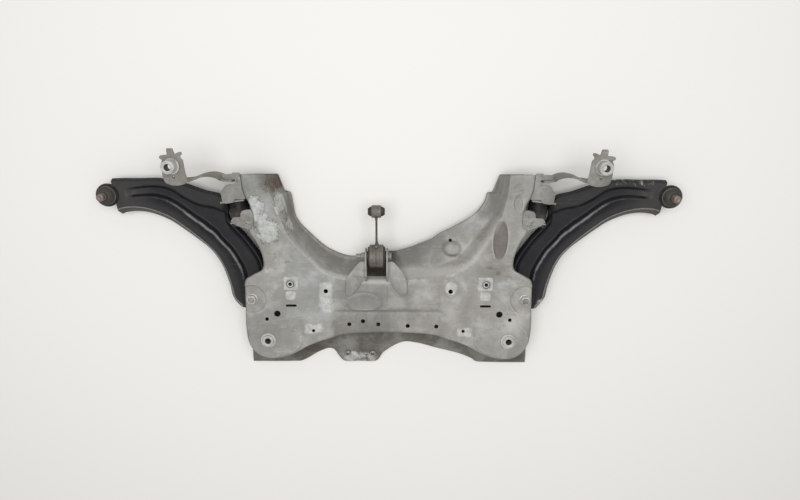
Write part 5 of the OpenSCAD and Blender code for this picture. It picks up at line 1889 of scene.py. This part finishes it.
@dataclass
class RodMount:
    """Clevis, torque rod and their bolt."""

    finishes: Finishes
    fasteners: Fasteners
    x: float = -27.5
    y: float = 309.0
    z: float = 84.0
    length: float = 109.0
    gap: float = 47.0

    def across_x(self, x: float, y: float | None = None) -> Matrix:
        """A place on the rod's bolt, with z along +x."""
        return Matrix.Translation((x, self.y if y is None else y, self.z)) @ Matrix.Rotation(math.pi / 2, 4, "Y")

    def ear(self, tag: str, x: float, lift: float, foot: Sequence[Point]) -> None:
        """One half of the clevis.

        Args:
            tag: left or right.
            x: x of the ear's lower face.
            lift: height of the foot above the deck.
            foot: plan of the foot.
        """
        z = 80.3 + lift
        wall = [(242, z), (268, z - 8), (292, 52), (324, 64), (330, 84), (327, 97), (316, 104), (300, 104), (262, 100)]
        upright = Matrix(((0, 0, 1, x), (1, 0, 0, 0), (0, 1, 0, 0), (0, 0, 0, 1)))
        obj = plate(f"clevis_ear_{tag}", rounded(wall, 9, 6), 0, 4, upright)
        flange = plate("foot", rounded([(x + px, py) for px, py in foot], 4, 6), z, z + 4)
        combine(obj, [flange], "UNION")
        Cutter().bore(6.3, (-5, 9), self.across_x(x)).apply(obj)
        seam = [(x + px, py, z + 0.3) for px, py in rounded(foot, 4, 6) if py < 246 and abs(px) > 7]
        self.fasteners.bead(obj, seam, 1.1)
        ends = np.array(seam)[:, :2]
        # Painted shade along the weld seam at the foot's edges
        write_masks(obj, {"bloom": even(0.22), "grime": lambda p: 0.5 * within(p.nearest(ends), 2.2, 1)})
        place(obj, self.finishes.clevis, "bracket_paint", "cradle", [f"clevis_{tag}"])

    @staticmethod
    def mirrored(half: Sequence[Point]) -> list[Point]:
        """Returns: a profile whose second half mirrors its first one."""
        return list(half) + [(r, -z) for r, z in reversed(half)]

    def bar(self) -> Shape:
        """Returns: the flat bar between the rings, as points and faces."""
        v = np.linspace(0, 1, 24)
        y = self.y + 25.5 + v * (self.length - 25.5 - 13)
        half = 13 + 9 * (1 - v) ** 3 * blend(1, 0.2, v) - 2 * v + 3 * blend(0.85, 1, v)
        thick = 2.4 + 2.6 * (1 - blend(0, 0.16, v)) + 1.8 * blend(0.88, 1, v)
        turn = np.linspace(0, 2 * math.pi, 28, endpoint=False)
        wide, tall = (np.sign(c) * np.abs(c) ** e for c, e in ((np.cos(turn), 0.7), (np.sin(turn), 0.55)))
        return stack([np.column_stack([self.x + thick[i] * wide, np.full(len(turn), y[i]), self.z + half[i] * tall])
                      for i in range(len(v))])

    def rod(self) -> None:
        """The rod with its two rings."""
        large = self.mirrored([
            (24, -16.5), (26.8, -16.5), (27.7, -15.9), (28, -15), (28, -9), (27.5, -8.4), (27.5, -7.8), (28, -7.2),
            (28, -2.2), (27.3, -1.5), (27.3, -0.9), (28.6, -0.5)])
        small = self.mirrored([
            (12, -11), (14.3, -11), (15, -10.2), (15, -6), (14.4, -5.4), (14.4, -4.8), (15, -4.2), (15, -1),
            (14.4, -0.5)])
        ring = solid("torque_link", lathe(large, 80), self.across_x(self.x))
        end = solid("end", lathe(small), self.across_x(self.x, self.y + self.length))
        combine(ring, [end, make_object("bar", *self.bar())], "UNION")
        write_masks(ring, {
            "rust": lambda p: 0.3 * within(p.x, self.x - 2, 6) * within(np.hypot(p.y - self.y, p.z - self.z), 30, 2),
            "grime": lambda p: np.maximum(0.8 * box_mask(p.y, p.z, (338, 404, 0, 200), 4), 0.85 * within(p.y, 290, 8))})
        place(ring, self.finishes.rod, "rod_metal", "rod", ["torque_rod"])

    def bushes(self) -> None:
        """The rubbers of both ends and the sleeve of the small one."""
        far = self.y + self.length
        large = [(10.05, -22), (12, -22), (13, -21), (15, -19.5), (18, -19.6), (20.4, -20.6), (22, -20.4), (23.85, -17)]
        small = [(8.15, -18), (9, -18), (9.5, -17.6), (10.4, -15.4), (11.6, -13), (11.85, -12)]
        for size, half, y in (("large", large, self.y), ("small", small, far)):
            obj = solid(f"rod_bush_{size}", lathe(self.mirrored(half), 72), self.across_x(self.x, y))
            write_masks(obj, {"grime": even(0.3)})
            place(obj, self.finishes.rubber, "black_rubber", "rod", [f"rod_{size}_rubber"])
        tube = self.mirrored([(5.25, -19.6), (5.7, -20), (7.6, -20), (8, -19.6)])
        obj = solid("rod_tube_small", lathe(tube, 48), self.across_x(self.x, far))
        place(obj, self.finishes.dark, "plain_steel", "rod", ["rod_small_sleeve"])

    def build(self) -> None:
        """Makes the clevis, the rod and the bolt."""
        half = self.gap / 2
        self.ear("left", self.x - half - 4, 1.5, [
            (4, 296), (-12, 296), (-28, 278), (-45, 256), (-49, 236), (-48, 212), (-38, 208), (-18, 229), (-9, 245),
            (4, 252)])
        self.ear("right", self.x + half, 3.5, [
            (0, 296), (16, 296), (24, 288), (40, 270), (50, 245), (49, 214), (39, 210), (18, 228), (10, 246),
            (0, 252)])
        self.rod()
        self.bushes()
        head = self.across_x(self.x + half + 4.3) @ Matrix.Rotation(math.pi, 4, "X")
        bolt = solid("rod_screw", Fasteners.bolt(16, 6, self.gap + 30, 8), head)
        self.fasteners.threaded(bolt, head, 6, self.gap + 10, 18.5)
        place(bolt, self.finishes.steel, "plain_steel", "cradle", ["rod_bolt"])
        seat = self.across_x(self.x - half - 4.3) @ Matrix.Rotation(math.pi, 4, "X")
        nut = solid("rod_screw_nut", Fasteners.nut(16, 6.2, 10), seat)
        place(nut, self.finishes.steel, "plain_steel", "cradle", ["rod_nut"])


class Stage:
    """Floor, light and camera."""

    # The camera's place, and the directions of its right, up and back
    CAMERA = ((0.039373, 0.412765, 1.629696), (1.0, 0.0022, -0.0075), (-0.0039, 0.9715, -0.2368),
              (0.0068, 0.2368, 0.9715))
    LENS = 29.9

    def floor(self) -> None:
        """Lays the pale floor."""
        mesh = bpy.data.meshes.new("floor")
        size, z = 6.0, -0.001
        mesh.from_pydata([(-size, -size, z), (size, -size, z), (size, size, z), (-size, size, z)], [], [(0, 1, 2, 3)])
        obj = bpy.data.objects.new("floor", mesh)
        bpy.context.scene.collection.objects.link(obj)
        mat, _, shader = open_material("floor_white")
        shader.inputs["Base Color"].default_value = (0.85, 0.845, 0.832, 1)
        shader.inputs["Roughness"].default_value = 0.8
        shader.inputs["Specular IOR Level"].default_value = 0.1
        mesh.materials.append(mat)

    def light(self) -> None:
        """Sets a soft light from the front and above, and an even sky."""
        world = bpy.data.worlds.new("studio")
        world.use_nodes = True
        sky = world.node_tree.nodes["Background"]
        sky.inputs[0].default_value = (1.0, 0.99, 0.975, 1)
        sky.inputs[1].default_value = 0.44
        bpy.context.scene.world = world
        data = bpy.data.lights.new("key", "AREA")
        data.shape = "RECTANGLE"
        data.size, data.size_y = 2.6, 1.5
        data.energy = 60.0
        data.color = (1.0, 0.985, 0.96)
        obj = bpy.data.objects.new("key", data)
        obj.location = (-0.05, 0.6, 2.75)
        obj.rotation_euler = (Vector((0, 0, 0)) - obj.location).to_track_quat("-Z", "Y").to_euler()
        bpy.context.scene.collection.objects.link(obj)

    def camera(self) -> None:
        """Stands the camera where the photograph was taken."""
        where, right, up, back = self.CAMERA
        data = bpy.data.cameras.new("camera")
        data.sensor_width = 36.0
        data.lens = self.LENS
        data.clip_end = 50.0
        obj = bpy.data.objects.new("camera", data)
        turn = Matrix((right, up, back)).transposed().to_4x4()
        obj.matrix_world = Matrix.Translation(where) @ turn
        bpy.context.scene.collection.objects.link(obj)
        bpy.context.scene.camera = obj

    def build(self) -> None:
        """Sets up the whole stage."""
        bpy.context.scene.view_settings.view_transform = "Standard"
        self.floor()
        self.light()
        self.camera()


def main() -> None:
    """Builds everything in order."""
    logging.basicConfig(level=logging.INFO, format="%(name)s %(message)s")
    Stage().build()
    finishes = Finishes()
    finishes.dress_nodes()
    CradleShells().build(finishes)
    fasteners = Fasteners(finishes, PathNodes())
    fasteners.build()
    for side in Side:
        ControlArm(side).build(finishes)
        BallJoint(side).build(finishes)
        PivotEars(side).build(finishes)
        FrontBracket(side).build(finishes)
    RodMount(finishes, fasteners).build()


if __name__ == "__main__":
    main()
